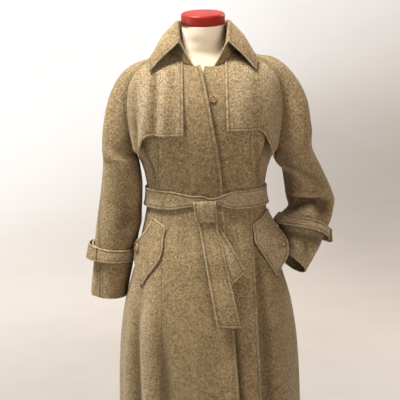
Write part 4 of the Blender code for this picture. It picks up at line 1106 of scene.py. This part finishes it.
def makeStraps():
    for side in sides:
        strap = straps[side]
        drop = edgeSteps(straps["width"], straps["step"])[:, None]
        around = np.linspace(-1, 1, int(straps["around"] / straps["step"]) + 1)[None, :]

        def face(places, out):
            kOver, kSeam = (low + (high - low) * drop for low, high in (strap["over"], strap["seam"]))
            bow = strap["bow"] * np.sin(math.pi * np.clip(places, 0, 1)) ** 2
            point, normal = sleeveFace(side, kOver + (kSeam - kOver) * np.abs(places) - bow, places)
            return onSide(side, point + normal * out[..., None], normal)

        thick = straps["thick"]
        stand = strap["flare"] * drop
        off = straps["gap"] + straps["slack"]
        mid, normal = face(around, off + thick / 2 + stand)
        mid[:, -1] = mid[:, 0]
        # Each strap is painted lighter, a painted highlight, most on the bent arm
        layCloth("cuff_strap_" + side, mid, normal, straps, "stretched",
                 ["sleeve_" + side + "_front", "sleeve_" + side + "_back"], ring=True, worn=strap["worn"])
        step = 2 * edgeSteps(straps["tabLength"], straps["tabStep"])[None, :] - 1
        rise = off + thick + straps["rest"] + straps["tabThick"] / 2
        rise = rise + straps["tabRise"] * (1 - step * step) + stand
        mid, normal = face(strap["tab"] + step * straps["tabReach"], rise)
        layCloth("cuff_tab_" + side, mid, normal, straps, "stretched", ["cuff_strap_" + side],
                 thick=straps["tabThick"], edge=straps["tabEdge"])


makeSleeves()
makeStraps()
print("sleeves and cuff straps laid")

# Storm flaps hang straight down from the fullest part of the chest, so their lower edges stand free
flaps = {
    "thick": 0.003, "gap": 0.0014, "stand": 0.0045, "hangZ": 1.25, "bend": 0.004, "clear": 0.0008,
    "lift": {"right": 0.016, "left": 0.011}, "drop": {"right": 0.01, "left": 0.0},
    "worn": 0.4, "crest": 100.0, "hollow": 0.45, "hollowRise": 0.005,
    "edge": 0.002, "rows": [("first", 0.0068), ("bottom", 0.0068)], "lit": ["first", "bottom"],
    "seams": [("last", 1.0)], "length": 0.15, "around": 0.24, "step": 0.0026,
    "table": [  # x and height of the upper edge and of the lower edge, from the front to the underarm
        (0.05, 1.402, 0.05, 1.245), (0.074, 1.422, 0.075, 1.2445), (0.105, 1.4145, 0.1, 1.244),
        (0.135, 1.403, 0.1165, 1.245), (0.157, 1.386, 0.1265, 1.243), (0.174, 1.362, 0.1345, 1.236),
        (0.1825, 1.33, 0.1408, 1.221), (0.184, 1.29, 0.1475, 1.2), (0.18, 1.245, 0.153, 1.183),
        (0.1705, 1.196, 0.1575, 1.166),
    ],
    "ripples": {  # x, width, rise
        "right": [(0.164, 0.008, -0.0036), (0.143, 0.01, 0.0062), (0.119, 0.009, -0.0062),
                  (0.098, 0.01, 0.0046), (0.076, 0.01, -0.0026)],
        "left": [(0.152, 0.012, 0.0022), (0.122, 0.014, -0.002), (0.088, 0.014, 0.0022)],
    },
}


def makeFlaps():
    rows = [(place, *row) for place, row in enumerate(flaps["table"])]
    for side in sides:
        step = 1 - edgeSteps(flaps["length"], flaps["step"])[:, None]
        place = (len(rows) - 1) * edgeSteps(flaps["around"], flaps["step"])[None, :]
        row = readTable(rows, place)
        topX, topZ, lowX, lowZ = (row[..., column] for column in range(1, 5))
        lowZ = lowZ + flaps["lift"][side] * ease(place, 4, 9) - flaps["drop"][side] * (1 - ease(place, 3, 7))
        x = topX + (lowX - topX) * step
        z = topZ + (lowZ - topZ) * step
        above = z - flaps["hangZ"]
        held = flaps["hangZ"] + (above + np.sqrt(above * above + flaps["bend"] ** 2)) / 2
        angle = angleAt(x, held)
        normal = coatNormal(angle, held)
        ripple = sum(rise * hump(x - at, width) for at, width, rise in flaps["ripples"][side])
        out = flaps["gap"] + flaps["thick"] / 2 + flaps["stand"] * step ** 3
        out = out + (ripple + flaps["clear"]) * ease(step, 0.15, 0.9)
        mid = coatLine(angle, held) + normal * out[..., None]
        mid[..., 2] -= held - z
        mid, normal = onSide(side, mid, normal)
        # Painted highlight over the flap and on its ripples' crests, and painted shade in the ripples'
        # hollows
        shown = ease(step, 0.0, 0.35)
        layCloth("storm_flap_" + side, mid, normal, flaps, "hung", ["front_" + side, "side_front_" + side],
                 worn=np.clip(flaps["worn"] + flaps["crest"] * ripple * shown, 0, 1),
                 hollow=flaps["hollow"] * np.clip(-ripple / flaps["hollowRise"], 0, 1) * shown)


# Bias-cut pockets: angles of the inner and outer edges at each height, and how far the outer edge gapes
pockets = {
    "thick": 0.003, "gap": 0.002, "forward": 0.6, "edge": 0.002, "step": 0.0024,
    "across": 0.11, "middle": (60, 0.95), "cut": 45, "rows": [("first", 0.0068), ("last", 0.0068)],
    "lit": ["first", "last", "top", "bottom"], "worn": {"right": 0.0, "left": 0.75}, "rim": 0.95,
    "rimFrom": (0.84, 0.91),
    "right": [
        (0.866, 55.0, 58.5, 0.001), (0.885, 51.0, 65.0, 0.0015), (0.905, 46.0, 75.0, 0.003),
        (0.93, 39.5, 84.0, 0.005), (0.955, 37.0, 84.0, 0.009), (0.971, 37.4, 75.0, 0.01),
        (0.99, 37.7, 65.5, 0.0085), (1.012, 38.0, 59.0, 0.005), (1.03, 54.0, 57.0, 0.002),
    ],
    "left": [
        (0.878, 61.5, 65.0, 0.001), (0.895, 58.0, 71.0, 0.008), (0.912, 54.0, 75.0, 0.026),
        (0.93, 50.0, 75.5, 0.037), (0.954, 45.0, 76.0, 0.042), (0.972, 41.5, 77.5, 0.034),
        (0.99, 42.5, 79.5, 0.021), (1.013, 43.5, 81.0, 0.008), (1.026, 58.0, 80.0, 0.003),
        (1.04, 74.0, 78.0, 0.001),
    ],
}


def pocketFace(side, z, share, out):
    z, share = np.broadcast_arrays(np.asarray(z, float), np.asarray(share, float))
    row = readTable(pockets[side], z)
    angle = sides[side] * np.radians(row[..., 1] + (row[..., 2] - row[..., 1]) * share)
    normal = coatNormal(angle, z)
    lean = np.stack([np.zeros(z.shape), pockets["forward"] * share, np.zeros(z.shape)], -1)
    gaping = unit(normal - lean) * (row[..., 3] * share * share)[..., None]
    return coatLine(angle, z) + normal * out + gaping


def makePockets():
    for side in sides:
        low, high = pockets[side][0][0], pockets[side][-1][0]
        z = low + (high - low) * edgeSteps(high - low, pockets["step"])[:, None]
        share = edgeSteps(pockets["across"], pockets["step"])[None, :]
        point = pocketFace(side, z, share, pockets["gap"] + pockets["thick"] / 2)
        degrees, middleZ = pockets["middle"]
        facing = np.broadcast_to(coatNormal(sides[side] * math.radians(degrees), middleZ), point.shape)
        # Painted highlight: the pocket is painted lighter towards its outer rim, and the left one all over
        worn = pockets["worn"][side]
        layCloth("pocket_" + side, point, facing, pockets, "hung", ["side_front_" + side, "front_" + side],
                 turn=math.radians(pockets["cut"]),
                 worn=worn + (pockets["rim"] - worn) * ease(share, *pockets["rimFrom"]))


makeFlaps()
makePockets()
print("storm flaps and pockets laid")

# The belt follows the waist, climbs over the lapped edge and is drawn in where it enters the knot
belt = {
    "waistZ": 1.076, "width": 0.047, "gap": 0.0012, "thick": 0.004, "edge": 0.0018, "step": 0.003,
    "rows": [("bottom", 0.0054), ("top", 0.0054)], "lit": ["bottom", "top"],
    "drawn": {"right": 0.3, "left": 0.62, "rightX": (0.014, 0.072), "leftX": (0.026, 0.085), "from": -0.005},
    "knotX": -0.005, "knotOut": 0.0044, "knotThick": 0.0034, "knotCrown": 0.0016, "pleat": 0.0012,
    "crown": 0.0022, "lean": 0.0036, "tailEdge": 0.0017, "tailInset": 0.0068, "hidden": 0.08, "curl": 0.0012,
    "tails": {
        "long": {"top": ((-0.02, 1.045), (0.0225, 1.045)), "under": ((-0.02, 1.0237), (0.0237, 1.0237)),
                 "low": ((0.0185, 0.778), (0.0718, 0.772)), "gap": (0.0065, 0.014),
                 "waves": (0.0016, 2.3, 0.4), "worn": 0.1},
        "short": {"top": ((0.0, 1.04), (0.023, 1.04)), "under": ((-0.002, 1.0243), (0.024, 1.0243)),
                  "low": ((0.0538, 0.8757), (0.0889, 0.9045)), "gap": (0.001, 0.0085),
                  "waves": (0.0006, 1.5, 0.0), "worn": 0.6},
    },
    "tailThick": 0.0036, "tailSize": ((0.27, 0.003), (0.045, 0.0025)),
    "knotRows": [("first", 0.0054), ("last", 0.0054)], "knotSize": ((0.09, 0.002), (0.05, 0.002)),
    "knot": [  # how far forwards of the belt and how high, along the wrap from behind over the top
        (0.0, 0.002, 1.06), (0.12, 0.004, 1.0715), (0.22, 0.01, 1.0765), (0.32, 0.016, 1.0735),
        (0.5, 0.0185, 1.055), (0.72, 0.018, 1.037), (0.82, 0.0165, 1.03), (0.92, 0.0118, 1.0283),
        (1.0, 0.007, 1.032),
    ],
    "knotLeft": [(1.026, -0.0215), (1.05, -0.029), (1.08, -0.0325)],
    "knotRight": [(1.026, 0.0265), (1.05, 0.0245), (1.08, 0.0215)],
}


def beltFace(angle, z, out):
    point, normal = coatLine(angle, z), coatNormal(angle, z)
    step = np.where(np.cos(angle) > 0, lapCover(point[..., 0], z), 0.0)
    return point + normal * (out + step)[..., None], normal


def makeBelt():
    angle = np.linspace(0, 2 * math.pi, 361)[None, :]
    share = edgeSteps(belt["width"], belt["step"])[:, None] - 0.5
    x = coatLine(angle, np.array(belt["waistZ"]))[..., 0] - belt["knotX"]
    ahead = np.cos(angle) > 0
    drawn = belt["drawn"]
    right, left, start, end = drawn["right"], drawn["left"], drawn["from"], drawn["rightX"][0]
    narrow = np.where(x > end, right + (1 - right) * ease(x, *drawn["rightX"]),
                      left - (left - right) * ease(x, start, end))
    narrow = np.where(x < start, left + (1 - left) * ease(-x, *drawn["leftX"]), narrow)
    narrow = np.where(ahead, narrow, 1.0)
    z = belt["waistZ"] + belt["width"] * share * narrow
    out = belt["gap"] + belt["thick"] / 2 + (1 - narrow) * belt["crown"] * (1 - 4 * share * share)
    out = out + belt["lean"] * (0.5 - share) * ease(narrow, 0.65, 1.0)
    mid, normal = beltFace(np.broadcast_to(angle, z.shape), z, out)
    mid[:, -1] = mid[:, 0]
    # The belt is painted lighter, more towards its left side: a painted highlight
    layCloth("belt", mid, normal, belt, "stretched", ["back", "front_right", "front_left"], ring=True,
             worn=0.5 + 0.4 * np.sin(angle))


def makeTails():
    for key, tail in belt["tails"].items():
        drop, share = (edgeSteps(*size) for size in belt["tailSize"])
        drop = drop[:, None]
        share = share[None, :]

        def edge(name):
            (leftX, leftZ), (rightX, rightZ) = tail[name]
            return np.stack([leftX + (rightX - leftX) * share, leftZ + (rightZ - leftZ) * share], -1)

        top, under, low = edge("top"), edge("under"), edge("low")
        turn = belt["hidden"]  # share of the tail that is hidden in the knot
        hidden = np.clip(drop / turn, 0, 1)[..., None]
        shown = np.clip((drop - turn) / (1 - turn), 0, 1)[..., None]
        place = np.where((drop < turn)[..., None], top + (under - top) * hidden,
                         under + (low - under) * shown)
        x, z = place[..., 0], place[..., 1]
        rise, count, start = tail["waves"]
        wave = rise * np.sin(2 * math.pi * (drop * count + start)) * ease(drop, 0.1, 0.4)
        curl = belt["curl"] * (2 * share - 1) ** 2 * ease(drop, 0.1, 0.5)
        close, free = tail["gap"]
        out = close + (free - close) * ease(drop, 0.1, 0.75) + belt["tailThick"] / 2
        out = out + wave + abs(rise) + curl
        mid, normal = beltFace(angleAt(x, z), z, out)
        sewn = ["first", "last", "top"]
        # Each tail is painted a little lighter, the short one most: a painted highlight
        layCloth("belt_tail_" + key, mid, normal, belt, "hung", ["belt_knot", "front_right"],
                 thick=belt["tailThick"], edge=belt["tailEdge"], lit=sewn, worn=tail["worn"],
                 rows=[(side, belt["tailInset"]) for side in sewn])


def makeKnot():
    lowZ = belt["waistZ"] - belt["width"] / 2
    face, _ = beltFace(angleAt(belt["knotX"], lowZ), np.array(lowZ), np.array(belt["gap"] + belt["knotOut"]))
    wrap, across = (edgeSteps(*size) for size in belt["knotSize"])
    wrap = wrap[:, None]
    across = across[None, :]
    row = readTable(belt["knot"], wrap)
    crown = 1 - (2 * across - 1) ** 4
    depth = row[..., 1] + belt["knotCrown"] * (crown - 1)
    z = np.broadcast_to(row[..., 2], depth.shape)
    left, right = readTable(belt["knotLeft"], z)[..., 1], readTable(belt["knotRight"], z)[..., 1]
    pleat = hump(across - 0.3 - 0.1 * wrap, 0.07) - hump(across - 0.62 + 0.08 * wrap, 0.06)
    pleat = belt["pleat"] * pleat
    mid = np.stack([left + (right - left) * across, face[1] - depth - pleat * ease(wrap, 0.2, 0.5), z], -1)
    facing = np.broadcast_to((0.0, -1.0, 0.0), mid.shape)
    # Painted highlight along the knot's lower fold, and painted shade on the wrap turned under below it
    layCloth("belt_knot", mid, facing, belt, "folded", ["belt"], thick=belt["knotThick"],
             edge=belt["tailEdge"], lit=["first", "last"], rows=belt["knotRows"],
             worn=0.2 + 0.8 * hump(wrap - 0.78, 0.05), hollow=0.8 * ease(wrap, 0.85, 0.9))


makeBelt()
makeTails()
makeKnot()
print("belt tied")

# The collar stands up from the neckline, rolls over and falls outwards to its pointed leaves
collar = {
    "thick": 0.0036, "roll": 0.0065, "spread": {"right": 1.0, "left": 0.965}, "rest": 0.0004, "edge": 0.0019,
    "rows": [("top", 0.0068), ("first", 0.0068), ("last", 0.0068)], "lit": ["top", "first", "last"],
    "lengths": (0, 1, 2, 2.6, 3.2, 4.6, 6.0), "soft": 0.0016, "softTurns": 1.9,
    "around": (0.52, 0.0032), "profile": (0.19, 0.003),
    "table": [  # where it rolls over, where it ends and how far it bulges, from the back to the front end
        ((0.0, 0.07, 1.502), (0.0, 0.117, 1.402), 0.004),
        ((0.037, 0.06, 1.503), (0.062, 0.105, 1.412), 0.004),
        ((0.06, 0.03, 1.504), (0.103, 0.062, 1.427), 0.005),
        ((0.0655, -0.003, 1.503), (0.1185, 0.005, 1.432), 0.006),
        ((0.0645, -0.034, 1.496), (0.1265, -0.04, 1.424), 0.006),
        ((0.062, -0.061, 1.478), (0.1325, -0.068, 1.408), 0.005),
        ((0.06, -0.085, 1.4545), (0.131, -0.093, 1.386), 0.002),
    ],
}


def neckline():
    def inCloth(x, z, back):
        angle = angleAt(x, z, back)
        return coatLine(angle, np.array(z)) - coatNormal(angle, np.array(z)) * body["thick"] / 2

    line = [inCloth(x, z, True) for x, z in reversed(body["neckBack"])]
    overX, overZ = sleeves["over"]["left"][0]
    line.append(np.array([overX - body["thick"] / 2, 0.0, overZ]))
    line += [inCloth(x, z, False) for x, z in [body["raglan"][0], *reversed(body["neckFront"])]]
    return [point + (0, 0, collar["rest"]) for point in line]


def collarProfile(foot, row, spread):
    roll = np.array(row[0])
    edge = np.array(row[1]) * (spread, 1, 1)
    outward = unit((edge - roll) * (1, 1, 0))
    drop = np.array([0, 0, collar["roll"]])
    inside, outside = roll - outward * collar["roll"] - drop, roll + outward * collar["roll"] - drop
    fall = unit(edge - outside)
    lift = outward + (0, 0, 1)
    lift = unit(lift - fall * np.dot(fall, lift))
    middle = (outside + edge) / 2 + lift * row[2]
    return [foot, (foot + inside) / 2, inside, roll, outside, middle, edge]


def makeCollar():
    halves = {side: onSide(side, *[np.array(collarProfile(foot, row, collar["spread"][side]))
                                   for foot, row in zip(neckline(), collar["table"])]) for side in sides}
    stations = np.array(halves["right"][:0:-1] + halves["left"])
    count = len(stations)
    flat = np.concatenate([np.arange(count)[:, None], stations.reshape(count, -1)], axis=1)
    across = (count - 1) * edgeSteps(*collar["around"])
    fine = readTable(flat, across)[:, 1:].reshape(len(across), -1, 3)
    lengths = np.array(collar["lengths"]) / collar["lengths"][-1]
    profile = edgeSteps(*collar["profile"])
    rows = []
    for station in fine:
        rows.append(readTable(np.concatenate([lengths[:, None], station], axis=1), profile)[:, 1:])
    outer = np.array(rows).transpose(1, 0, 2)
    facing = outer * (1, 1, 0) * np.where(profile > 0.5, 1.0, 0.0)[:, None, None]
    normal = gridNormals(outer, False)
    if np.sum(normal * facing) < 0:
        normal = -normal
    soft = collar["soft"] * np.sin(across * collar["softTurns"])[None, :] * ease(profile, 0.6, 0.95)[:, None]
    mid = outer + normal * (soft - collar["thick"] / 2)[..., None]
    layCloth("collar", mid, facing, collar, "folded", ["back", "front_right", "front_left"])


makeCollar()
print("collar laid")

# Turned pieces: a profile of radius and height is spun into a closed shape
def turned(profile, steps):
    mesh = bmesh.new()
    verts = [mesh.verts.new((radius, 0.0, height)) for radius, height in profile]
    edges = [mesh.edges.new(pair) for pair in zip(verts[:-1], verts[1:])]
    bmesh.ops.spin(mesh, geom=verts + edges, cent=(0, 0, 0), axis=(0, 0, 1), angle=2 * math.pi,
                   steps=steps, use_merge=True, use_duplicate=False)
    bmesh.ops.remove_doubles(mesh, verts=mesh.verts, dist=1e-6)
    bmesh.ops.dissolve_degenerate(mesh, edges=mesh.edges, dist=1e-7)
    return mesh


# Buttons with a raised rim, a ring round the middle, four holes and thread crossed through them
buttons = {
    "pocket": {"radius": 0.011, "height": 0.0042, "right": (73.5, 0.95), "left": (70.5, 0.953)},
    "neck": {"radius": 0.0085, "height": 0.0036, "at": (0.0186, 1.3195)},
    "gap": 0.0008, "hole": 0.09, "spacing": 0.21,
    "profile": [(0.0, 0.0), (0.8, 0.0), (0.93, 0.1), (0.99, 0.32), (1.0, 0.58), (0.97, 0.84), (0.9, 0.98),
                (0.82, 0.98), (0.75, 0.86), (0.7, 0.62), (0.64, 0.52), (0.56, 0.54), (0.5, 0.64),
                (0.44, 0.7), (0.3, 0.66), (0.0, 0.64)],
    "thread": 0.034, "apart": 0.035, "threadZ": 0.7, "crossing": 0.05, "ring": (0.66, 0.2),
}


def sewButton(name, size, point, normal):
    radius, height = size["radius"], size["height"]
    up = Vector(normal).normalized()
    place = Matrix.Translation(Vector(point) + up * buttons["gap"])
    place = place @ up.to_track_quat("Z", "Y").to_matrix().to_4x4()
    disc = turned([(r * radius, h * height) for r, h in buttons["profile"]], 48)
    bmesh.ops.recalc_face_normals(disc, faces=disc.faces)
    holes = bmesh.new()
    thread = bmesh.new()
    spots = [Vector((x, y, 0)) * buttons["spacing"] * radius for x, y in ((1, 1), (-1, 1), (-1, -1), (1, -1))]
    for spot in spots:
        hole = buttons["hole"] * radius
        bmesh.ops.create_cone(holes, cap_ends=True, segments=14, radius1=hole, radius2=hole,
                              depth=height * 4, matrix=Matrix.Translation(spot))
    for first, second in ((0, 2), (1, 3)):
        ends = [spots[first], spots[second]]
        along = (ends[1] - ends[0]).normalized()
        lift = height * (buttons["threadZ"] + buttons["crossing"] * first)
        for shift in (-buttons["apart"], buttons["apart"]):
            across = along.cross(Vector((0, 0, 1))) * shift * radius
            turn = along.to_track_quat("Z", "Y").to_matrix().to_4x4()
            thin = buttons["thread"] * radius
            stretch = Matrix.Diagonal((thin, thin, (ends[1] - ends[0]).length / 2 * 1.1, 1.0))
            middle = Matrix.Translation(across + Vector((0, 0, lift)))
            bmesh.ops.create_uvsphere(thread, u_segments=8, v_segments=8, radius=1.0,
                                      matrix=middle @ turn @ stretch)
    parts = [addObject(name + key, keepMesh(name + key, mesh))
             for key, mesh in (("disc", disc), ("holes", holes))]
    cut = parts[0].modifiers.new("holes", "BOOLEAN")
    cut.operation = "DIFFERENCE"
    cut.solver = "EXACT"
    cut.object = parts[1]
    drilled = bmesh.new()
    drilled.from_object(parts[0], bpy.context.evaluated_depsgraph_get())
    for part in parts:
        bpy.data.objects.remove(part)
    ringed = drilled.verts.layers.float.new("groove")
    ringAt, ringWidth = buttons["ring"]
    for vert in drilled.verts:
        vert[ringed] = float(hump(math.hypot(vert.co.x, vert.co.y) / radius - ringAt, ringWidth))
    bmesh.ops.transform(drilled, matrix=place, verts=drilled.verts)
    bmesh.ops.transform(thread, matrix=place, verts=thread.verts)
    finishPiece(name + "_disc", drilled, "button", node=name, sharp=math.radians(50))
    finishPiece(name + "_thread", thread, "tweed", "thread")


def makeButtons():
    for side in sides:
        degrees, z = buttons["pocket"][side]
        row = readTable(pockets[side], np.array(z))
        share = (degrees - row[1]) / (row[2] - row[1])
        out = pockets["gap"] + pockets["thick"]
        point = pocketFace(side, z, share, out)
        across = pocketFace(side, z, share + 0.02, out) - pocketFace(side, z, share - 0.02, out)
        up = pocketFace(side, z + 0.002, share, out) - pocketFace(side, z - 0.002, share, out)
        normal = np.cross(across, up) * sides[side]
        sewButton("pocket_button_" + side, buttons["pocket"], point, normal)
    x, z = buttons["neck"]["at"]
    angle = angleAt(x, z)
    z = np.array(z)
    sewButton("neck_button", buttons["neck"], coatLine(angle, z), coatNormal(angle, z))


makeButtons()
print("buttons sewn on")

# The dress form, its cap, pole and foot
form = {
    "leanZ": 1.44, "tilt": 10.0, "columns": 128, "rows": 170,
    "cap": {"radius": 0.0535, "thick": 0.026, "rounding": 0.006, "edge": 0.0012,
            "crown": [(0.03, 0.0004), (0.0, 0.0006)], "place": (0.0, -0.008, 1.509)},
    "pole": {"radius": 0.0135, "low": 0.0144, "high": 0.7996, "edge": 0.0006},
    "foot": {"radius": 0.17, "thick": 0.014, "rounding": 0.004, "edge": 0.0008}, "sharp": 0.6,
    "rings": [
        (0.8, 0.15, 0.112, 0.112, 2.1), (0.83, 0.158, 0.118, 0.12, 2.1),
        (0.88, 0.16, 0.12, 0.124, 2.1), (0.95, 0.15, 0.113, 0.114, 2.1),
        (1.02, 0.132, 0.101, 0.096, 2.1), (1.076, 0.122, 0.094, 0.083, 2.1),
        (1.13, 0.129, 0.101, 0.087, 2.1), (1.2, 0.148, 0.117, 0.097, 2.2),
        (1.25, 0.158, 0.123, 0.103, 2.3), (1.3, 0.168, 0.118, 0.106, 2.4),
        (1.34, 0.174, 0.11, 0.104, 2.5), (1.37, 0.172, 0.097, 0.0985, 2.5),
        (1.395, 0.154, 0.075, 0.0825, 2.5), (1.412, 0.117, 0.056, 0.068, 2.4),
        (1.425, 0.076, 0.0495, 0.0575, 2.2), (1.436, 0.0625, 0.05, 0.0515, 2.1),
        (1.45, 0.055, 0.0515, 0.0475, 2.0), (1.47, 0.052, 0.056, 0.045, 2.0),
        (1.4955, 0.0515, 0.0595, 0.0435, 2.0),
    ],
}


def makeForm():
    columns, rings = form["columns"], form["rings"]
    heights = np.linspace(rings[0][0], rings[-1][0], form["rows"])[:, None]
    angle = 2 * math.pi * (np.arange(columns + 1) % columns) / columns
    x, y = ringPoint(rings, angle, heights)
    lean = math.tan(math.radians(form["tilt"])) * ease(heights, form["leanZ"], rings[-1][0])
    z = heights + (y - form["cap"]["place"][1]) * lean
    points = np.stack([x, y, z], -1).reshape(-1, 3)
    mesh = bmesh.new()
    bmesh.ops.create_grid(mesh, x_segments=columns, y_segments=len(heights) - 1, size=1)
    for vert, point in zip(mesh.verts, points):
        vert.co = point
    bmesh.ops.remove_doubles(mesh, verts=mesh.verts, dist=1e-6)
    bmesh.ops.holes_fill(mesh, edges=[edge for edge in mesh.edges if edge.is_boundary], sides=columns)
    finishPiece("form_torso_cover", mesh, "form_cloth", node="form_torso", sharp=math.radians(60))


def roundedRim(radius, high, rounding, steps=6):
    arc = [math.pi / 2 * step / steps for step in range(steps + 1)]
    return [(radius + rounding * (math.cos(a) - 1), high + rounding * (math.sin(a) - 1)) for a in arc]


def makeStand():
    cap = form["cap"]
    low, high = -cap["thick"] / 2, cap["thick"] / 2
    edge = cap["edge"]
    under = [(cap["radius"] - edge + edge * math.sin(a), low + edge - edge * math.cos(a))
             for a in (0, 0.5, 1.0, math.pi / 2)]
    crown = [(radius, high + rise) for radius, rise in cap["crown"]]
    profile = [(0.0, low), *under, *roundedRim(cap["radius"], high, cap["rounding"], 8), *crown]
    mesh = turned(profile, 96)
    place = Matrix.Translation(cap["place"]) @ Matrix.Rotation(math.radians(form["tilt"]), 4, "X")
    bmesh.ops.transform(mesh, matrix=place, verts=mesh.verts)
    finishPiece("neck_cap_turned", mesh, "cap_red", node="neck_cap", sharp=math.radians(40))
    pole = form["pole"]
    radius, low, high, edge = (pole[key] for key in ("radius", "low", "high", "edge"))
    profile = [(0.0, low), (radius, low), (radius, high - edge), (radius - edge, high), (0.0, high)]
    finishPiece("stand_pole_turned", turned(profile, 64), "metal", node="stand_pole", sharp=form["sharp"])
    foot = form["foot"]
    profile = [(0.0, 0.0), (foot["radius"] - foot["edge"], 0.0), (foot["radius"], foot["edge"]),
               *roundedRim(foot["radius"], foot["thick"], foot["rounding"]), (0.0, foot["thick"])]
    finishPiece("stand_base_turned", turned(profile, 128), "metal", node="stand_base", sharp=form["sharp"])


makeForm()
makeStand()
print("dress form and stand made")

# Pale sweep behind and under the coat, and soft studio light
studio = {
    "floor": {"front": -120.0, "flat": 2.6, "bend": 6.6, "radius": 2.4, "height": 12.0, "half": 120.0},
    "climb": (0.55, 0.22, 0.9), "unlit": (0.05, 0.045, 0.04, 1.0),
    "sky": [(0.0, (0.52, 0.475, 0.435)), (0.1, (0.44, 0.4, 0.37)), (0.3, (0.09, 0.072, 0.056))],
    "fades": {  # where each starts and ends, and its values there
        "far": (1.2, 3.6, 0.0, 1.0), "behind": (-2.5, 1.5, 0.45, 1.0), "climb": (-0.2, 3.6, 0.0, 1.0),
        "aside": (-0.2, 1.2, 0.0, 0.4), "deep": (1.8, 3.2, 0.0, 1.0), "low": (0.1, 1.2, 1.0, 0.3),
    },
    "glow": [(0.0, (0.4, 0.325, 0.272)), (0.45, (0.55, 0.505, 0.465)), (1.0, (0.84, 0.83, 0.825))],
    "lights": [  # name, place, aim, size, power, colour
        ("key", (-1.26, -0.57, 4.47), (0.0, -0.08, 1.1), 1.25, 318.0, (1.0, 0.95, 0.875)),
        ("side", (-3.3, -0.35, 1.15), (-0.1, 0.0, 0.95), 1.3, 32.0, (1.0, 0.93, 0.84)),
        ("fill", (1.7, -2.9, 2.0), (0.0, 0.0, 1.1), 1.8, 46.0, (1.0, 0.82, 0.7)),
        ("rear", (2.5, 2.1, 2.9), (0.0, 0.0, 1.0), 0.9, 52.0, (1.0, 0.95, 0.88)),
    ],
}


def makeSweep():
    floor = studio["floor"]
    profile = [(floor["front"], 0.0), (floor["flat"], 0.0)]
    profile += [(floor["bend"] + floor["radius"] * math.sin(a), floor["radius"] * (1 - math.cos(a)))
                for a in np.linspace(0, math.pi / 2, 25)]
    profile.append((floor["bend"] + floor["radius"], floor["height"]))
    mesh = bmesh.new()
    bmesh.ops.create_grid(mesh, x_segments=2, y_segments=len(profile) - 1, size=floor["half"])
    for index, vert in enumerate(mesh.verts):
        vert.co.y, vert.co.z = profile[index // 3]
    finish = Finish("sweep", {"Roughness": 0.9, "Specular IOR Level": 0.1, "Emission Strength": 1.0})
    place = finish.node("TexCoord", output=3)
    x, y, z = finish.axes(place)
    leftwards, backwards, upwards = studio["climb"]
    along = {"far": finish.maths("SQRT", x * x + y * y), "behind": y, "aside": x, "deep": y, "low": z,
             "climb": y * backwards + z * upwards - x * leftwards}
    fade = {name: finish.smooth(value, *studio["fades"][name]) for name, value in along.items()}
    glow = finish.ramp(fade["climb"], studio["glow"])
    lit = fade["far"] * fade["behind"] * (1.0 - fade["aside"] * fade["deep"] * fade["low"])
    mottled = finish.noise(place, 3.0, 2.0)
    finish.feed("Base Color", finish.ramp(mottled, [
        (0.3, (0.385, 0.37, 0.352)), (0.7, (0.41, 0.395, 0.377))]))
    # The sweep glows with painted light: none near the stand, brighter further off, higher up and towards -X,
    # and less low on the +X side far behind
    finish.feed("Emission Color", finish.blend(lit, studio["unlit"], glow))
    data = keepMesh("sweep", mesh)
    data.shade_smooth()
    data.materials.append(finish.material)
    sweep = addObject("sweep", data)


def makeLights():
    world = bpy.data.worlds.new("studio")
    bpy.context.scene.world = world
    sky = Finish("studio", {}, world)
    _, _, height = sky.axes(sky.node("TexCoord"))
    sky.feed("Color", sky.ramp(height, studio["sky"]))
    for name, place, aim, size, power, colour in studio["lights"]:
        data = bpy.data.lights.new(name, "AREA")
        data.shape = "DISK"
        data.size = size
        data.energy = power
        data.color = colour
        light = addObject(name, data)
        towards = Vector(aim) - Vector(place)
        turn = towards.to_track_quat("-Z", "Y").to_matrix().to_4x4()
        light.matrix_world = Matrix.Translation(place) @ turn
    bpy.context.scene.view_settings.view_transform = "Standard"
    bpy.context.scene.view_settings.look = "None"


makeSweep()
makeLights()
print("studio lit")
